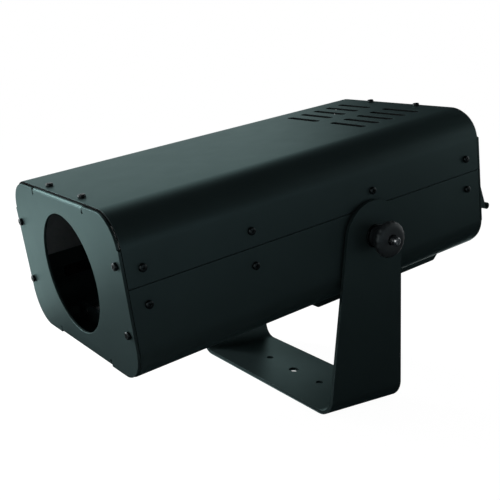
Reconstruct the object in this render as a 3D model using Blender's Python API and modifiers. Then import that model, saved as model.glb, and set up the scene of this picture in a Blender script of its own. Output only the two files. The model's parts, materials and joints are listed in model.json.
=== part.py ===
"""A compact followspot: a sheet-steel head that tilts in a bent steel yoke.

Everything is in millimetres until it is made, in two frames. The yoke stands on z = 0.
The head is drawn level about its tilt axis, with the nose towards -y, and is then hung
on an empty at the pivot that pitches the nose down as in its usual aim. Right is +x.
"""
import math

import bmesh
import bpy
from mathutils import Matrix, Vector

MM = 0.001
# Room between pieces that touch, and how far a cutter runs past what it cuts
GAP = 0.3
OVER = 4.0

# Head casing
BODY_WIDTH = 180.0
BODY_HEIGHT = 118.0
CORNER_RADIUS = 25.0
NOSE_Y = -205.3
TAIL_Y = 124.0
BEAM_Z = 12.5
SEAM_Z = 21.5
SHEET = 1.5
PLATE = 2.0
HEAD_PITCH_DEG = 9.7

# Yoke
PIVOT_Y = 33.9
PIVOT_Z = 141.0
STRAP = 3.0
STRAP_OUTER_X = 94.5
STRAP_BEND = 16.0
STRAP_HEAD_RADIUS = 27.2
STRAP_FOOT_HALF = 36.0
BASE_HOLE_RADIUS = 4.5
BASE_SIDE_HOLE_RADIUS = 3.3
BASE_SIDE_HOLE_X = 35.5

# Tilt lock: M6
BOLT_RADIUS = 3.0
BOLT_HOLE_RADIUS = 3.4
BOLT_REACH_IN = 16.0
BOLT_HEAD_RADIUS = 5.0
BOLT_HEAD_HEIGHT = 4.5
KNOB_RADIUS = 14.0
KNOB_RIM = 12.0
KNOB_RIM_START = 3.0
KNOB_BOSS_RADIUS = 8.0
KNOB_FACE_RADIUS = 7.5
KNOB_LENGTH = 18.0
KNOB_LOBES = 12
KNOB_FLUTE = 0.7
WASHER_RADIUS = 9.0
WASHER_THICK = 1.2
FRICTION_WASHER_RADIUS = 12.0
FRICTION_WASHER_THICK = 0.9
INSERT_RADIUS = 6.2
INSERT_LENGTH = 12.0

# Fasteners: M3 pan heads
SCREW_HEAD_RADIUS = 2.9
SCREW_HEAD_HEIGHT = 2.0
SCREW_RADIUS = 1.5
SCREW_HOLE_RADIUS = 1.8
SCREW_LENGTH = 6.5
FACE_SCREW_X = 83.0
FACE_SCREW_Z = (37.2, -10.3)
SIDE_SCREW_Y = (-191.0, -106.8, 4.5, 106.8)
UPPER_SCREW_Z = 33.5
LOWER_SCREW_Z = 8.3
TOP_SCREW_X = 28.5
TOP_SCREW_Y = (-197.0, 117.0)
TAB_INNER_X = 76.0
TAB_HALF = 6.0
RAIL_THICK = 2.0
RAIL_MARGIN = 4.5
RAIL_END_ROOM = 3.0
PIVOT_BAY_RADIUS = 9.0

# Front and rear plates
FLANGE_HALF = 44.0
FLANGE_DROP = 2.3
FLANGE_REACH = 18.0
FLANGE_BEND = 2.6
FOLD_ROOM = 5.0
CORNER_INSET = 1.6
LOWER_CORNER_INSET = 0.4
LENS_OPENING_RADIUS = 44.5

# Vents in the top, and intake slots in the bottom
VENT_INNER_X = 8.5
VENT_OUTER_X = 49.5
VENT_WIDTH = 5.5
VENT_FIRST_Y = 39.0
VENT_PITCH = 14.7
VENT_ROWS = 5
INTAKE_LENGTH = 96.0
INTAKE_WIDTH = 6.0
INTAKE_FIRST_Y = 5.0
INTAKE_PITCH = 22.0
INTAKE_ROWS = 4

# Objective, on its sliding holder
LENS_RADIUS = 42.0
LENS_Y = -150.0
LENS_CENTRE_THICK = 15.0
LENS_EDGE_THICK = 4.0
LENS_RING_OUTER = 47.0
LENS_RING_THICK = 2.0
LENS_CLEAR_RADIUS = 39.0
HOLDER_HALF = 52.0
HOLDER_HIGH = 50.0
HOLDER_FOOT = 6.5
HOLDER_CORNER = 8.0
HOLDER_THICK = 8.0
HOLDER_LIP = 0.9
ROD_RADIUS = 3.0
ROD_X = 41.0
ROD_Z = -36.0
BRACKET_Y = -184.0
BRACKET_THICK = 4.0
BRACKET_FOOT = 18.0
BRACKET_SHEET = 2.0
BRACKET_WIDTH = 110.0
BRACKET_HEIGHT = 7.0
FOCUS_Z = -14.0
FOCUS_FORWARD = 22.0
FOCUS_BACK = 28.0
FOCUS_KNOB_RADIUS = 9.5
FOCUS_KNOB_LENGTH = 12.0
FOCUS_STEM_RADIUS = 2.5
FOCUS_SLOT_WIDTH = 6.4

# Gate, iris and colour wheel
GATE_Y = -61.0
GATE_THICK = 2.0
GATE_WALL_ROOM = 0.6
GATE_APERTURE = 15.0
GATE_BAY = 3.5
IRIS_OUTER = 39.5
IRIS_DEPTH = 10.5
IRIS_WALL = 2.5
IRIS_FLOOR = 1.6
IRIS_APERTURE = 16.0
IRIS_RING_OUTER = 36.5
IRIS_RING_INNER = 17.0
IRIS_RING_HALF_THICK = 1.0
IRIS_LEVER_Y = -73.0
IRIS_LEVER_RADIUS = 0.95
IRIS_LEVER_END = 100.0
IRIS_GRIP_RADIUS = 4.0
IRIS_GRIP_START = 97.0
IRIS_GRIP_END = 106.0
IRIS_HALF_SWING_DEG = 18.0
IRIS_SLOT_WIDTH = 6.5
IRIS_SLOT_ROOM = 4.0
WHEEL_X = -40.0
WHEEL_Y = -53.5
WHEEL_RADIUS = 54.0
WHEEL_THICK = 1.6
WHEEL_TEETH = 40
WHEEL_TOOTH = 0.8
WHEEL_SLOT_WIDTH = 4.5
WHEEL_SLOT_ROOM = 2.0
WHEEL_BORE = 3.3
PIN_RADIUS = 3.0
PIN_HEAD_RADIUS = 5.5
PIN_LENGTH = 12.0
PIN_HEAD_THICK = 2.4
FILTER_RADIUS = 12.0
FILTER_THICK = 1.1
WHEEL_PLACES = 5

# Light engine and cooling
TUBE_FRONT = -44.0
TUBE_OUTER = 30.0
TUBE_INNER = 27.0
CONDENSER_Y = -26.0
CONDENSER_RADIUS = 26.6
CONDENSER_RIM = 3.0
CONDENSER_RISE = 11.0
BOARD_HALF = 18.5
BOARD_THICK = 2.0
BOARD_CORNER = 3.0
HEAT_SINK_HALF = 44.0
HEAT_SINK_Y = 8.0
HEAT_SINK_DEPTH = 56.0
HEAT_SINK_BASE = 6.0
FIN_THICK = 2.2
FIN_COUNT = 9
FAN_Z = 21.5
FAN_HALF = 40.0
FAN_DEPTH = 25.0
FAN_Y = TAIL_Y - PLATE - GAP - FAN_DEPTH
FAN_WALL = 2.0
FAN_CORNER = 4.0
FAN_HUB_RADIUS = 15.0
FAN_HUB_THICK = 3.0
FAN_HUB_LENGTH = 18.0
FAN_STRUT_RADIUS = 1.5
FAN_STRUT_INSET = 1.8
BLADE_COUNT = 7
BLADE_MIDDLE = 25.0
BLADE_BACK = 9.0
BLADE_SIZE = (23.0, 1.4, 19.0)
BLADE_PITCH_DEG = 38.0

# Supply, and the rear plate's fittings
DRIVER_INNER_X = -48.0
DRIVER_FRONT_Y = 14.0
DRIVER_BACK_Y = 80.0
DRIVER_LOW_Z = -30.0
DRIVER_HIGH_Z = 52.0
DRIVER_EDGE = 2.0
PANEL_Z = -29.5
FAN_SLOT_LENGTH = 60.0
FAN_SLOT_WIDTH = 5.0
FAN_SLOT_PITCH = 10.0
FAN_SLOT_ROWS = 5
INLET_X = -45.3
INLET_FLANGE = (24.0, 11.0)
INLET_FLANGE_THICK = 2.5
INLET_CAN = (13.4, 10.0, 24.0)
INLET_WELL = (12.0, 8.2, 16.0)
FUSE_X = -10.0
FUSE_RADIUS = 6.0
FUSE_CAP_RADIUS = 7.6
FUSE_CAP_LENGTH = 9.0
FUSE_LENGTH = 24.0
SWITCH_X = 22.0
SWITCH_FLANGE = (11.0, 7.5)
SWITCH_FLANGE_THICK = 1.8
SWITCH_BODY = (9.6, 6.4, 18.0)
SWITCH_MOUTH = (8.6, 5.2, 7.0)
ROCKER_HALF = 8.0
ROCKER_WIDTH = 9.6
ROCKER_Y = 1.6
DIMMER_X = 58.0
DIMMER_BUSH_RADIUS = 3.6
DIMMER_BODY_RADIUS = 8.5
DIMMER_BODY_LENGTH = 12.0
DIMMER_STICKS_OUT = 5.0
DIMMER_KNOB_RADIUS = 7.8
DIMMER_KNOB_LENGTH = 13.0

# Rear hood and bottom baffle
HOOD_HALF = 80.0
HOOD_TOP_Z = 43.0
HOOD_FOOT_Z = -17.0
HOOD_DEPTH = 17.5
HOOD_WALL = 1.2
HEM_RADIUS = 2.8
BAFFLE_HALF = 64.0
BAFFLE_FRONT_Y = -43.0
BAFFLE_REAR_Y = 101.0
BAFFLE_FRONT_SLOPE = 6.0
BAFFLE_REAR_SLOPE = 9.6
BAFFLE_DEPTH = 8.5
BAFFLE_WALL = 1.2
BAFFLE_GAP_COUNT = 4
BAFFLE_GAP_LENGTH = 22.0
BAFFLE_GAP_PITCH = 28.0
BAFFLE_GAP_HEIGHT = 2.3

BODY_HALF = BODY_WIDTH / 2
TOP_Z = BEAM_Z + BODY_HEIGHT / 2
BOTTOM_Z = BEAM_Z - BODY_HEIGHT / 2
FLOOR_Z = BOTTOM_Z + SHEET + GAP
SHELL_FRONT = NOSE_Y + PLATE + GAP
SHELL_REAR = TAIL_Y - PLATE - GAP
SHELL_LENGTH = SHELL_REAR - SHELL_FRONT
PANEL_Y = TAIL_Y + GAP

X_AXIS = Vector((1, 0, 0))
Y_AXIS = Vector((0, 1, 0))
Z_AXIS = Vector((0, 0, 1))

# An outline's plane: its first and second coordinates run along the axes named
XZ_PLATE = Matrix.Rotation(math.radians(90), 4, "X")
YZ_PLATE = Matrix(((0, 0, 1, 0), (1, 0, 0, 0), (0, 1, 0, 0), (0, 0, 0, 1)))

# A turned piece's own z axis is laid along these
ALONG_X = Matrix.Rotation(math.radians(90), 4, "Y")
AGAINST_X = Matrix.Rotation(math.radians(-90), 4, "Y")
ALONG_Y = Matrix.Rotation(math.radians(-90), 4, "X")
AGAINST_Y = Matrix.Rotation(math.radians(90), 4, "X")

SIDES = ((1, "right"), (-1, "left"))

COLOURS = {
    "powder_coat": ((0.035, 0.038, 0.04), 0.55, 0.0),
    "inner_steel": ((0.30, 0.31, 0.32), 0.45, 0.9),
    "bright_steel": ((0.62, 0.62, 0.63), 0.28, 1.0),
    "black_screw": ((0.02, 0.02, 0.022), 0.35, 0.6),
    "aluminium": ((0.72, 0.73, 0.74), 0.38, 1.0),
    "black_plastic": ((0.025, 0.025, 0.027), 0.5, 0.0),
    "fibre": ((0.35, 0.12, 0.06), 0.8, 0.0),
    "clear_glass": ((0.85, 0.92, 0.95), 0.05, 0.0),
    "red_glass": ((0.75, 0.04, 0.03), 0.05, 0.0),
    "amber_glass": ((0.90, 0.45, 0.04), 0.05, 0.0),
    "green_glass": ((0.05, 0.55, 0.12), 0.05, 0.0),
    "blue_glass": ((0.04, 0.12, 0.75), 0.05, 0.0),
    "white_board": ((0.85, 0.85, 0.80), 0.4, 0.2),
}
FILTER_GLASSES = ("red_glass", "amber_glass", "green_glass", "blue_glass")


def clear_scene():
    for thing in list(bpy.data.objects):
        bpy.data.objects.remove(thing, do_unlink=True)


def new_collection(name):
    group = bpy.data.collections.new(name)
    bpy.context.scene.collection.children.link(group)
    return group


clear_scene()
PARTS = new_collection("followspot")
CUTTERS = new_collection("followspot_cutters")


def material(piece, kind):
    colour, roughness, metallic = COLOURS[kind]
    made = bpy.data.materials.new(piece.name + "_" + kind)
    made.use_nodes = True
    shader = made.node_tree.nodes["Principled BSDF"]
    shader.inputs["Base Color"].default_value = (*colour, 1.0)
    shader.inputs["Roughness"].default_value = roughness
    shader.inputs["Metallic"].default_value = metallic
    piece.data.materials.clear()
    piece.data.materials.append(made)


def put(thing, parent, place=(0, 0, 0), turn=None):
    """Hang a piece on a parent at a place given in millimetres."""
    thing.parent = parent
    base = turn if turn is not None else Matrix.Identity(4)
    thing.matrix_local = Matrix.Translation(Vector(place) * MM) @ base


def mesh_piece(name, mesh, kind, parent, place=(0, 0, 0), turn=None):
    piece = bpy.data.objects.new(name, mesh)
    PARTS.objects.link(piece)
    put(piece, parent, place, turn)
    material(piece, kind)
    return piece


def new_empty(name, place, turn=None):
    empty = bpy.data.objects.new(name, None)
    PARTS.objects.link(empty)
    put(empty, None, place, turn)
    return empty


def arc(centre_x, centre_y, radius, start_deg, end_deg, steps):
    """Points along an arc, both ends included."""
    points = []
    for step in range(steps + 1):
        angle = math.radians(start_deg + (end_deg - start_deg) * step / steps)
        points.append((centre_x + radius * math.cos(angle), centre_y + radius * math.sin(angle)))
    return points


def circle(centre_x, centre_y, radius, steps=32):
    return arc(centre_x, centre_y, radius, 0, 360, steps)[:-1]


def box_outline(centre_x, centre_y, half_x, half_y):
    low_x = centre_x - half_x
    high_x = centre_x + half_x
    low_y = centre_y - half_y
    high_y = centre_y + half_y
    return [(low_x, low_y), (high_x, low_y), (high_x, high_y), (low_x, high_y)]


def rounded_box(half_x, low_y, high_y, radius, steps=8):
    """A rounded rectangle, anticlockwise from its right side."""
    points = []
    for x, y, start in ((half_x - radius, high_y - radius, 0), (radius - half_x, high_y - radius, 90),
                        (radius - half_x, low_y + radius, 180), (half_x - radius, low_y + radius, 270)):
        points += arc(x, y, radius, start, start + 90, steps)
    return points


def slot_outline(centre_x, centre_y, length_x, width_y, steps=4):
    """A slot with round ends, its length along the first axis."""
    reach = (length_x - width_y) / 2
    right = arc(centre_x + reach, centre_y, width_y / 2, -90, 90, steps)
    left = arc(centre_x - reach, centre_y, width_y / 2, 90, 270, steps)
    return right + left


def rod_profile(radius, low, high):
    """A plain rod's turned profile."""
    return [(0, high), (radius, high), (radius, low), (0, low)]


def tube_profile(outer, inner, low, high):
    """A plain tube's or washer's turned profile."""
    return [(outer, high), (outer, low), (inner, low), (inner, high)]


def flat_mesh(name, outlines, thickness, low=None, turn=None):
    """A sheet cut to outlines: the first is its edge, the others are holes. Its thickness
    is along local z, from low if that is given and otherwise about the middle."""
    curve = bpy.data.curves.new(name, "CURVE")
    curve.dimensions = "2D"
    curve.fill_mode = "BOTH"
    curve.extrude = thickness / 2 * MM
    for outline in outlines:
        spline = curve.splines.new("POLY")
        spline.points.add(len(outline) - 1)
        for point, (x, y) in zip(spline.points, outline):
            point.co = (x * MM, y * MM, 0, 1)
        spline.use_cyclic_u = True
    carrier = bpy.data.objects.new(name, curve)
    CUTTERS.objects.link(carrier)
    depsgraph = bpy.context.evaluated_depsgraph_get()
    mesh = bpy.data.meshes.new_from_object(carrier.evaluated_get(depsgraph))
    bpy.data.objects.remove(carrier, do_unlink=True)
    bpy.data.curves.remove(curve)
    mesh.name = name
    mesh.materials.clear()
    shape = bmesh.new()
    shape.from_mesh(mesh)
    bmesh.ops.remove_doubles(shape, verts=shape.verts, dist=1e-6)
    lift = 0.0 if low is None else low + thickness / 2
    shape.transform((turn or Matrix.Identity(4)) @ Matrix.Translation((0, 0, lift * MM)))
    bmesh.ops.recalc_face_normals(shape, faces=shape.faces)
    if shape.calc_volume(signed=True) < 0:
        bmesh.ops.reverse_faces(shape, faces=shape.faces)
    shape.to_mesh(mesh)
    shape.free()
    return mesh


def flat_piece(name, outlines, thickness, kind, parent, place=(0, 0, 0), turn=None, low=None):
    return mesh_piece(name, flat_mesh(name, outlines, thickness, low, turn), kind, parent, place)


def turned_piece(name, profile, kind, parent, place=(0, 0, 0), turn=None, steps=32):
    """A turned piece about local z. The profile is (radius, height) pairs that run down the
    outer side; it closes on itself, or on the axis where it starts and ends there."""
    mesh = bpy.data.meshes.new(name)
    shape = bmesh.new()
    verts = [shape.verts.new((radius * MM, 0, height * MM)) for radius, height in profile]
    on_axis = profile[0][0] == 0 and profile[-1][0] == 0
    pairs = list(zip(verts, verts[1:]))
    if not on_axis:
        pairs.append((verts[-1], verts[0]))
    for first, second in pairs:
        shape.edges.new((first, second))
    shape.to_mesh(mesh)
    shape.free()
    piece = mesh_piece(name, mesh, kind, parent, place, turn)
    screw = piece.modifiers.new("turn", "SCREW")
    screw.steps = steps
    screw.render_steps = steps
    screw.use_merge_vertices = True
    screw.merge_threshold = 0.00001
    screw.use_smooth_shade = False
    return piece


def shape_box(shape, low, high):
    """Add a box to a bmesh, between two opposite corners in millimetres."""
    first = Vector(low) * MM
    second = Vector(high) * MM
    size = second - first
    middle = Matrix.Translation((first + second) / 2)
    bmesh.ops.create_cube(shape, size=1, matrix=middle @ Matrix.Diagonal((*map(abs, size), 1)))


def shape_rod(shape, start, end, radius, steps=16):
    """Add a closed cylinder to a bmesh, between two points in millimetres."""
    start_point = Vector(start) * MM
    end_point = Vector(end) * MM
    along = end_point - start_point
    turn = along.to_track_quat("Z", "Y").to_matrix().to_4x4()
    middle = Matrix.Translation((start_point + end_point) / 2)
    bmesh.ops.create_cone(shape, cap_ends=True, segments=steps, radius1=radius * MM,
                          radius2=radius * MM, depth=along.length, matrix=middle @ turn)


def drill(shape, centre, axis, radius, reach=OVER, steps=10):
    """Add a round hole's cutter, which runs both ways along an axis from its centre."""
    shape_rod(shape, Vector(centre) - axis * reach, Vector(centre) + axis * reach, radius, steps)


def shape_mesh(shape, mesh):
    shape.from_mesh(mesh)
    bpy.data.meshes.remove(mesh)


def tool(name, parent, shape, place=(0, 0, 0)):
    """A cutter or an addition: one hidden object from a filled bmesh."""
    mesh = bpy.data.meshes.new(name)
    shape.to_mesh(mesh)
    shape.free()
    thing = bpy.data.objects.new(name, mesh)
    CUTTERS.objects.link(thing)
    put(thing, parent, place)
    thing.hide_render = True
    thing.display_type = "WIRE"
    return thing


def combine(piece, thing, operation):
    boolean = piece.modifiers.new(thing.name, "BOOLEAN")
    boolean.operation = operation
    boolean.solver = "EXACT"
    boolean.object = thing


def cut(piece, thing):
    combine(piece, thing, "DIFFERENCE")


def join(piece, thing):
    combine(piece, thing, "UNION")


def arm_outline():
    """The strap seen from the side: a round head whose tangents flare down to the foot."""
    drop = PIVOT_Z - STRAP_BEND
    foot = STRAP_FOOT_HALF
    flare = math.asin(STRAP_HEAD_RADIUS / math.hypot(foot, drop)) - math.atan2(foot, drop)
    lean = math.degrees(flare)
    head = arc(0, PIVOT_Z, STRAP_HEAD_RADIUS, -lean, 180 + lean, 24)
    return [(foot, -OVER), (foot, STRAP_BEND)] + head + [(-foot, STRAP_BEND), (-foot, -OVER)]


def strap_profile():
    """The strap seen from the front: a U with round bends."""
    top = PIVOT_Z + STRAP_HEAD_RADIUS + OVER
    out = STRAP_OUTER_X
    bend = STRAP_BEND
    inner = STRAP_BEND - STRAP
    outer_right = arc(out - bend, bend, bend, 0, -90, 6)
    outer_left = arc(bend - out, bend, bend, 270, 180, 6)
    inner_left = arc(bend - out, bend, inner, 180, 270, 6)
    inner_right = arc(out - bend, bend, inner, -90, 0, 6)
    return ([(out, top)] + outer_right + outer_left + [(-out, top), (STRAP - out, top)]
            + inner_left + inner_right + [(out - STRAP, top)])


def make_yoke(stand):
    width = 2 * (STRAP_FOOT_HALF + OVER)
    yoke = flat_piece("yoke", [strap_profile()], width, "powder_coat", stand, turn=XZ_PLATE)
    outline = bmesh.new()
    shape_mesh(outline, flat_mesh("arm", [arm_outline()], 2 * (STRAP_OUTER_X + OVER), turn=YZ_PLATE))
    combine(yoke, tool("arm_outline", stand, outline), "INTERSECT")
    holes = bmesh.new()
    drill(holes, (0, 0, 0), Z_AXIS, BASE_HOLE_RADIUS, steps=20)
    for side in (-1, 1):
        drill(holes, (side * BASE_SIDE_HOLE_X, 0, 0), Z_AXIS, BASE_SIDE_HOLE_RADIUS, steps=16)
        drill(holes, (side * STRAP_OUTER_X, 0, PIVOT_Z), X_AXIS, BOLT_HOLE_RADIUS, steps=20)
    cut(yoke, tool("yoke_holes", stand, holes))


def knob_outline():
    """A lobed rim: shallow flutes round the knob."""
    steps = 5 * KNOB_LOBES
    points = []
    for step in range(steps):
        angle = 2 * math.pi * step / steps
        radius = KNOB_RADIUS - KNOB_FLUTE * (1 - math.cos(KNOB_LOBES * angle)) / 2
        points.append((radius * math.cos(angle), radius * math.sin(angle)))
    return points


def make_tilt_lock(head, side, word):
    """One side's knob, bolt, washers and threaded insert, on the tilt axis."""
    outward = ALONG_X if side > 0 else AGAINST_X
    washer_x = STRAP_OUTER_X + GAP
    knob_x = washer_x + WASHER_THICK + GAP
    bore = BOLT_RADIUS + GAP
    washer = tube_profile(WASHER_RADIUS, bore, 0, WASHER_THICK)
    turned_piece("lock_washer_" + word, washer, "bright_steel", head, (side * washer_x, 0, 0), outward, 24)
    pad = tube_profile(FRICTION_WASHER_RADIUS, INSERT_RADIUS + GAP, 0, FRICTION_WASHER_THICK)
    turned_piece("friction_washer_" + word, pad, "fibre", head, (side * (BODY_HALF + GAP), 0, 0), outward, 24)
    insert = tube_profile(INSERT_RADIUS, bore, -INSERT_LENGTH, SHEET)
    wall_x = side * (BODY_HALF - SHEET)
    turned_piece("threaded_insert_" + word, insert, "bright_steel", head, (wall_x, 0, 0), outward, 20)
    place = (side * knob_x, 0, 0)
    knob = flat_piece("lock_knob_" + word, [knob_outline()], KNOB_RIM, "black_plastic", head,
                      place, outward, low=KNOB_RIM_START)
    rim_end = KNOB_RIM_START + KNOB_RIM
    bosses = bmesh.new()
    shape_rod(bosses, (0, 0, 0), (side * (KNOB_RIM_START + 1), 0, 0), KNOB_BOSS_RADIUS, 24)
    shape_rod(bosses, (side * (rim_end - 1), 0, 0), (side * KNOB_LENGTH, 0, 0), KNOB_FACE_RADIUS, 24)
    join(knob, tool("knob_bosses_" + word, head, bosses, place))
    drilled = bmesh.new()
    drill(drilled, (0, 0, 0), X_AXIS, bore, KNOB_LENGTH + OVER, 16)
    cut(knob, tool("knob_bore_" + word, head, drilled, place))
    tip = KNOB_LENGTH + GAP
    crown = tip + BOLT_HEAD_HEIGHT
    bolt = [(0, crown), (BOLT_HEAD_RADIUS * 0.64, crown), (BOLT_HEAD_RADIUS, crown - 1.5),
            (BOLT_HEAD_RADIUS, tip), (BOLT_RADIUS, tip), (BOLT_RADIUS, -BOLT_REACH_IN), (0, -BOLT_REACH_IN)]
    turned_piece("lock_bolt_" + word, bolt, "bright_steel", head, place, outward, 20)


def shell_profile(upper):
    """The open outer line of a half casing, from the right seam over to the left one."""
    middle = BODY_HALF - CORNER_RADIUS
    if upper:
        seam = SEAM_Z + GAP / 2
        right = arc(middle, TOP_Z - CORNER_RADIUS, CORNER_RADIUS, 0, 90, 8)
        left = arc(-middle, TOP_Z - CORNER_RADIUS, CORNER_RADIUS, 90, 180, 8)
    else:
        seam = SEAM_Z - GAP / 2
        right = arc(middle, BOTTOM_Z + CORNER_RADIUS, CORNER_RADIUS, 0, -90, 8)
        left = arc(-middle, BOTTOM_Z + CORNER_RADIUS, CORNER_RADIUS, 270, 180, 8)
    return [(BODY_HALF, seam)] + right + left + [(-BODY_HALF, seam)]


def shell_piece(name, upper, head):
    """A half casing: its line drawn along y as an open surface, given the sheet's thickness."""
    mesh = bpy.data.meshes.new(name)
    shape = bmesh.new()
    line = [shape.verts.new((x * MM, SHELL_FRONT * MM, z * MM)) for x, z in shell_profile(upper)]
    edges = [shape.edges.new(pair) for pair in zip(line, line[1:])]
    drawn = bmesh.ops.extrude_edge_only(shape, edges=edges)
    ends = [item for item in drawn["geom"] if isinstance(item, bmesh.types.BMVert)]
    bmesh.ops.translate(shape, verts=ends, vec=(0, SHELL_LENGTH * MM, 0))
    for face in shape.faces:
        middle = face.calc_center_median() - Vector((0, 0, BEAM_Z * MM))
        if face.normal.dot(Vector((middle.x, 0, middle.z))) < 0:
            face.normal_flip()
    shape.to_mesh(mesh)
    shape.free()
    piece = mesh_piece(name, mesh, "powder_coat", head)
    wall = piece.modifiers.new("sheet", "SOLIDIFY")
    wall.thickness = SHEET * MM
    wall.offset = -1
    wall.use_even_offset = True
    return piece


def add_screw_tabs(shell, head, height):
    """Tabs folded in from a casing's ends, behind the plates' face screws."""
    tabs = bmesh.new()
    wall = BODY_HALF - SHEET / 2
    for side in (-1, 1):
        for start in (SHELL_FRONT, SHELL_REAR - SHEET):
            shape_box(tabs, (side * TAB_INNER_X, start, height - TAB_HALF),
                      (side * wall, start + SHEET, height + TAB_HALF))
    join(shell, tool(shell.name + "_tabs", head, tabs))


def drill_casing(shape, face_height, side_height, side_places):
    """The screw holes of a half casing, in its tabs and in its side walls."""
    for side in (-1, 1):
        for y in (SHELL_FRONT, SHELL_REAR):
            drill(shape, (side * FACE_SCREW_X, y, face_height), Y_AXIS, SCREW_HOLE_RADIUS)
        for y in side_places:
            drill(shape, (side * BODY_HALF, y, side_height), X_AXIS, SCREW_HOLE_RADIUS)


def iris_slot_half():
    """Half the height of the slot that the iris lever swings in."""
    return math.tan(math.radians(IRIS_HALF_SWING_DEG)) * BODY_HALF + IRIS_SLOT_ROOM


def wheel_slot_half():
    """Half the height of the slot that the colour wheel's rim comes through."""
    reach = BODY_HALF + WHEEL_X - SHEET
    return math.sqrt(WHEEL_RADIUS ** 2 - reach ** 2) + WHEEL_SLOT_ROOM


def add_control_slots(shape):
    """The two slots in the left wall that the iris lever and the colour wheel's rim come through."""
    slots = ((IRIS_LEVER_Y, IRIS_SLOT_WIDTH, iris_slot_half()),
             (WHEEL_Y, WHEEL_SLOT_WIDTH, wheel_slot_half()))
    for y, width, half in slots:
        shape_box(shape, (-BODY_HALF - OVER, y - width / 2, BEAM_Z - half),
                  (-BODY_HALF + OVER, y + width / 2, BEAM_Z + half))


def lower_side_places():
    """The lower row's screws: it has none at the pivot."""
    return [y for y in SIDE_SCREW_Y if abs(y) > PIVOT_BAY_RADIUS]


def make_top_shell(head):
    shell = shell_piece("top_shell", True, head)
    add_screw_tabs(shell, head, FACE_SCREW_Z[0])
    holes = bmesh.new()
    middle = (VENT_INNER_X + VENT_OUTER_X) / 2
    for row in range(VENT_ROWS):
        for side in (-1, 1):
            outline = slot_outline(side * middle, VENT_FIRST_Y + row * VENT_PITCH,
                                   VENT_OUTER_X - VENT_INNER_X, VENT_WIDTH)
            shape_mesh(holes, flat_mesh("vent", [outline], 2 * OVER, low=TOP_Z - OVER))
    for y in TOP_SCREW_Y:
        for side in (-1, 1):
            drill(holes, (side * TOP_SCREW_X, y, TOP_Z), Z_AXIS, SCREW_HOLE_RADIUS)
    drill_casing(holes, FACE_SCREW_Z[0], UPPER_SCREW_Z, SIDE_SCREW_Y)
    add_control_slots(holes)
    cut(shell, tool("top_shell_holes", head, holes))


def make_bottom_shell(head):
    shell = shell_piece("bottom_shell", False, head)
    add_screw_tabs(shell, head, FACE_SCREW_Z[1])
    holes = bmesh.new()
    drill_casing(holes, FACE_SCREW_Z[1], LOWER_SCREW_Z, lower_side_places())
    for side in (-1, 1):
        drill(holes, (side * BODY_HALF, 0, 0), X_AXIS, INSERT_RADIUS + GAP, steps=20)
    for row in range(INTAKE_ROWS):
        outline = slot_outline(0, INTAKE_FIRST_Y + row * INTAKE_PITCH, INTAKE_LENGTH, INTAKE_WIDTH)
        shape_mesh(holes, flat_mesh("intake", [outline], 2 * OVER, low=BOTTOM_Z - OVER))
    travel = FOCUS_FORWARD + FOCUS_BACK
    middle = LENS_Y + (FOCUS_BACK - FOCUS_FORWARD) / 2
    focus_slot = slot_outline(middle, FOCUS_Z, travel + FOCUS_SLOT_WIDTH, FOCUS_SLOT_WIDTH)
    shape_mesh(holes, flat_mesh("focus_slot", [focus_slot], 2 * OVER, low=-BODY_HALF - OVER, turn=YZ_PLATE))
    add_control_slots(holes)
    cut(shell, tool("bottom_shell_holes", head, holes))


def make_seam_rails(head):
    """Flat bars behind the seam, tapped for the side screws. The left one stops for the slots."""
    low = LOWER_SCREW_Z - RAIL_MARGIN
    high = UPPER_SCREW_Z + RAIL_MARGIN
    inner = BODY_HALF - SHEET - GAP - RAIL_THICK
    first = SHELL_FRONT + RAIL_END_ROOM
    last = SHELL_REAR - RAIL_END_ROOM
    runs = (("seam_rail_right", 1, first, last),
            ("seam_rail_left_front", -1, first, IRIS_LEVER_Y - IRIS_SLOT_WIDTH),
            ("seam_rail_left_rear", -1, WHEEL_Y + IRIS_SLOT_WIDTH, last))
    for name, side, start, end in runs:
        holes = []
        for height, places in ((UPPER_SCREW_Z, SIDE_SCREW_Y), (LOWER_SCREW_Z, lower_side_places())):
            holes += [circle(y, height, SCREW_HOLE_RADIUS, 10) for y in places if start < y < end]
        outline = [(start, low), (end, low), (end, high), (start, high)]
        if start < 0 < end:
            bay = math.degrees(math.asin(low / PIVOT_BAY_RADIUS))
            outline[1:1] = arc(0, 0, PIVOT_BAY_RADIUS, 180 - bay, bay, 6)
        flat_piece(name, [outline] + holes, RAIL_THICK, "inner_steel", head, turn=YZ_PLATE,
                   low=inner if side > 0 else -inner - RAIL_THICK)


def plate_outline():
    """An end plate: flush sides, corner arcs a little inside the casing, and a notched bend
    line at top and bottom where its flanges fold back."""
    spare_deg = 6
    shoulder_height = 1.5
    corners = ((1, 1, 0), (-1, 1, 90), (-1, -1, 180), (1, -1, 270))
    points = []
    for x_sign, z_sign, quarter in corners:
        centre_x = x_sign * (BODY_HALF - CORNER_RADIUS)
        edge_z = TOP_Z if z_sign > 0 else BOTTOM_Z
        centre_z = edge_z - z_sign * CORNER_RADIUS
        radius = CORNER_RADIUS - (CORNER_INSET if z_sign > 0 else LOWER_CORNER_INSET)
        bend = (x_sign * FLANGE_HALF, edge_z - z_sign * FLANGE_DROP)
        notch = (x_sign * FLANGE_HALF, centre_z + z_sign * radius)
        corner = arc(centre_x, centre_z, radius, quarter + spare_deg, quarter + 90 - spare_deg, 8)
        side = (x_sign * BODY_HALF, centre_z)
        shoulder = (x_sign * BODY_HALF, centre_z + z_sign * shoulder_height)
        if x_sign * z_sign > 0:
            points += [side, shoulder] + corner + [notch, bend]
        else:
            points += [bend, notch] + corner + [shoulder, side]
    return points


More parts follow.
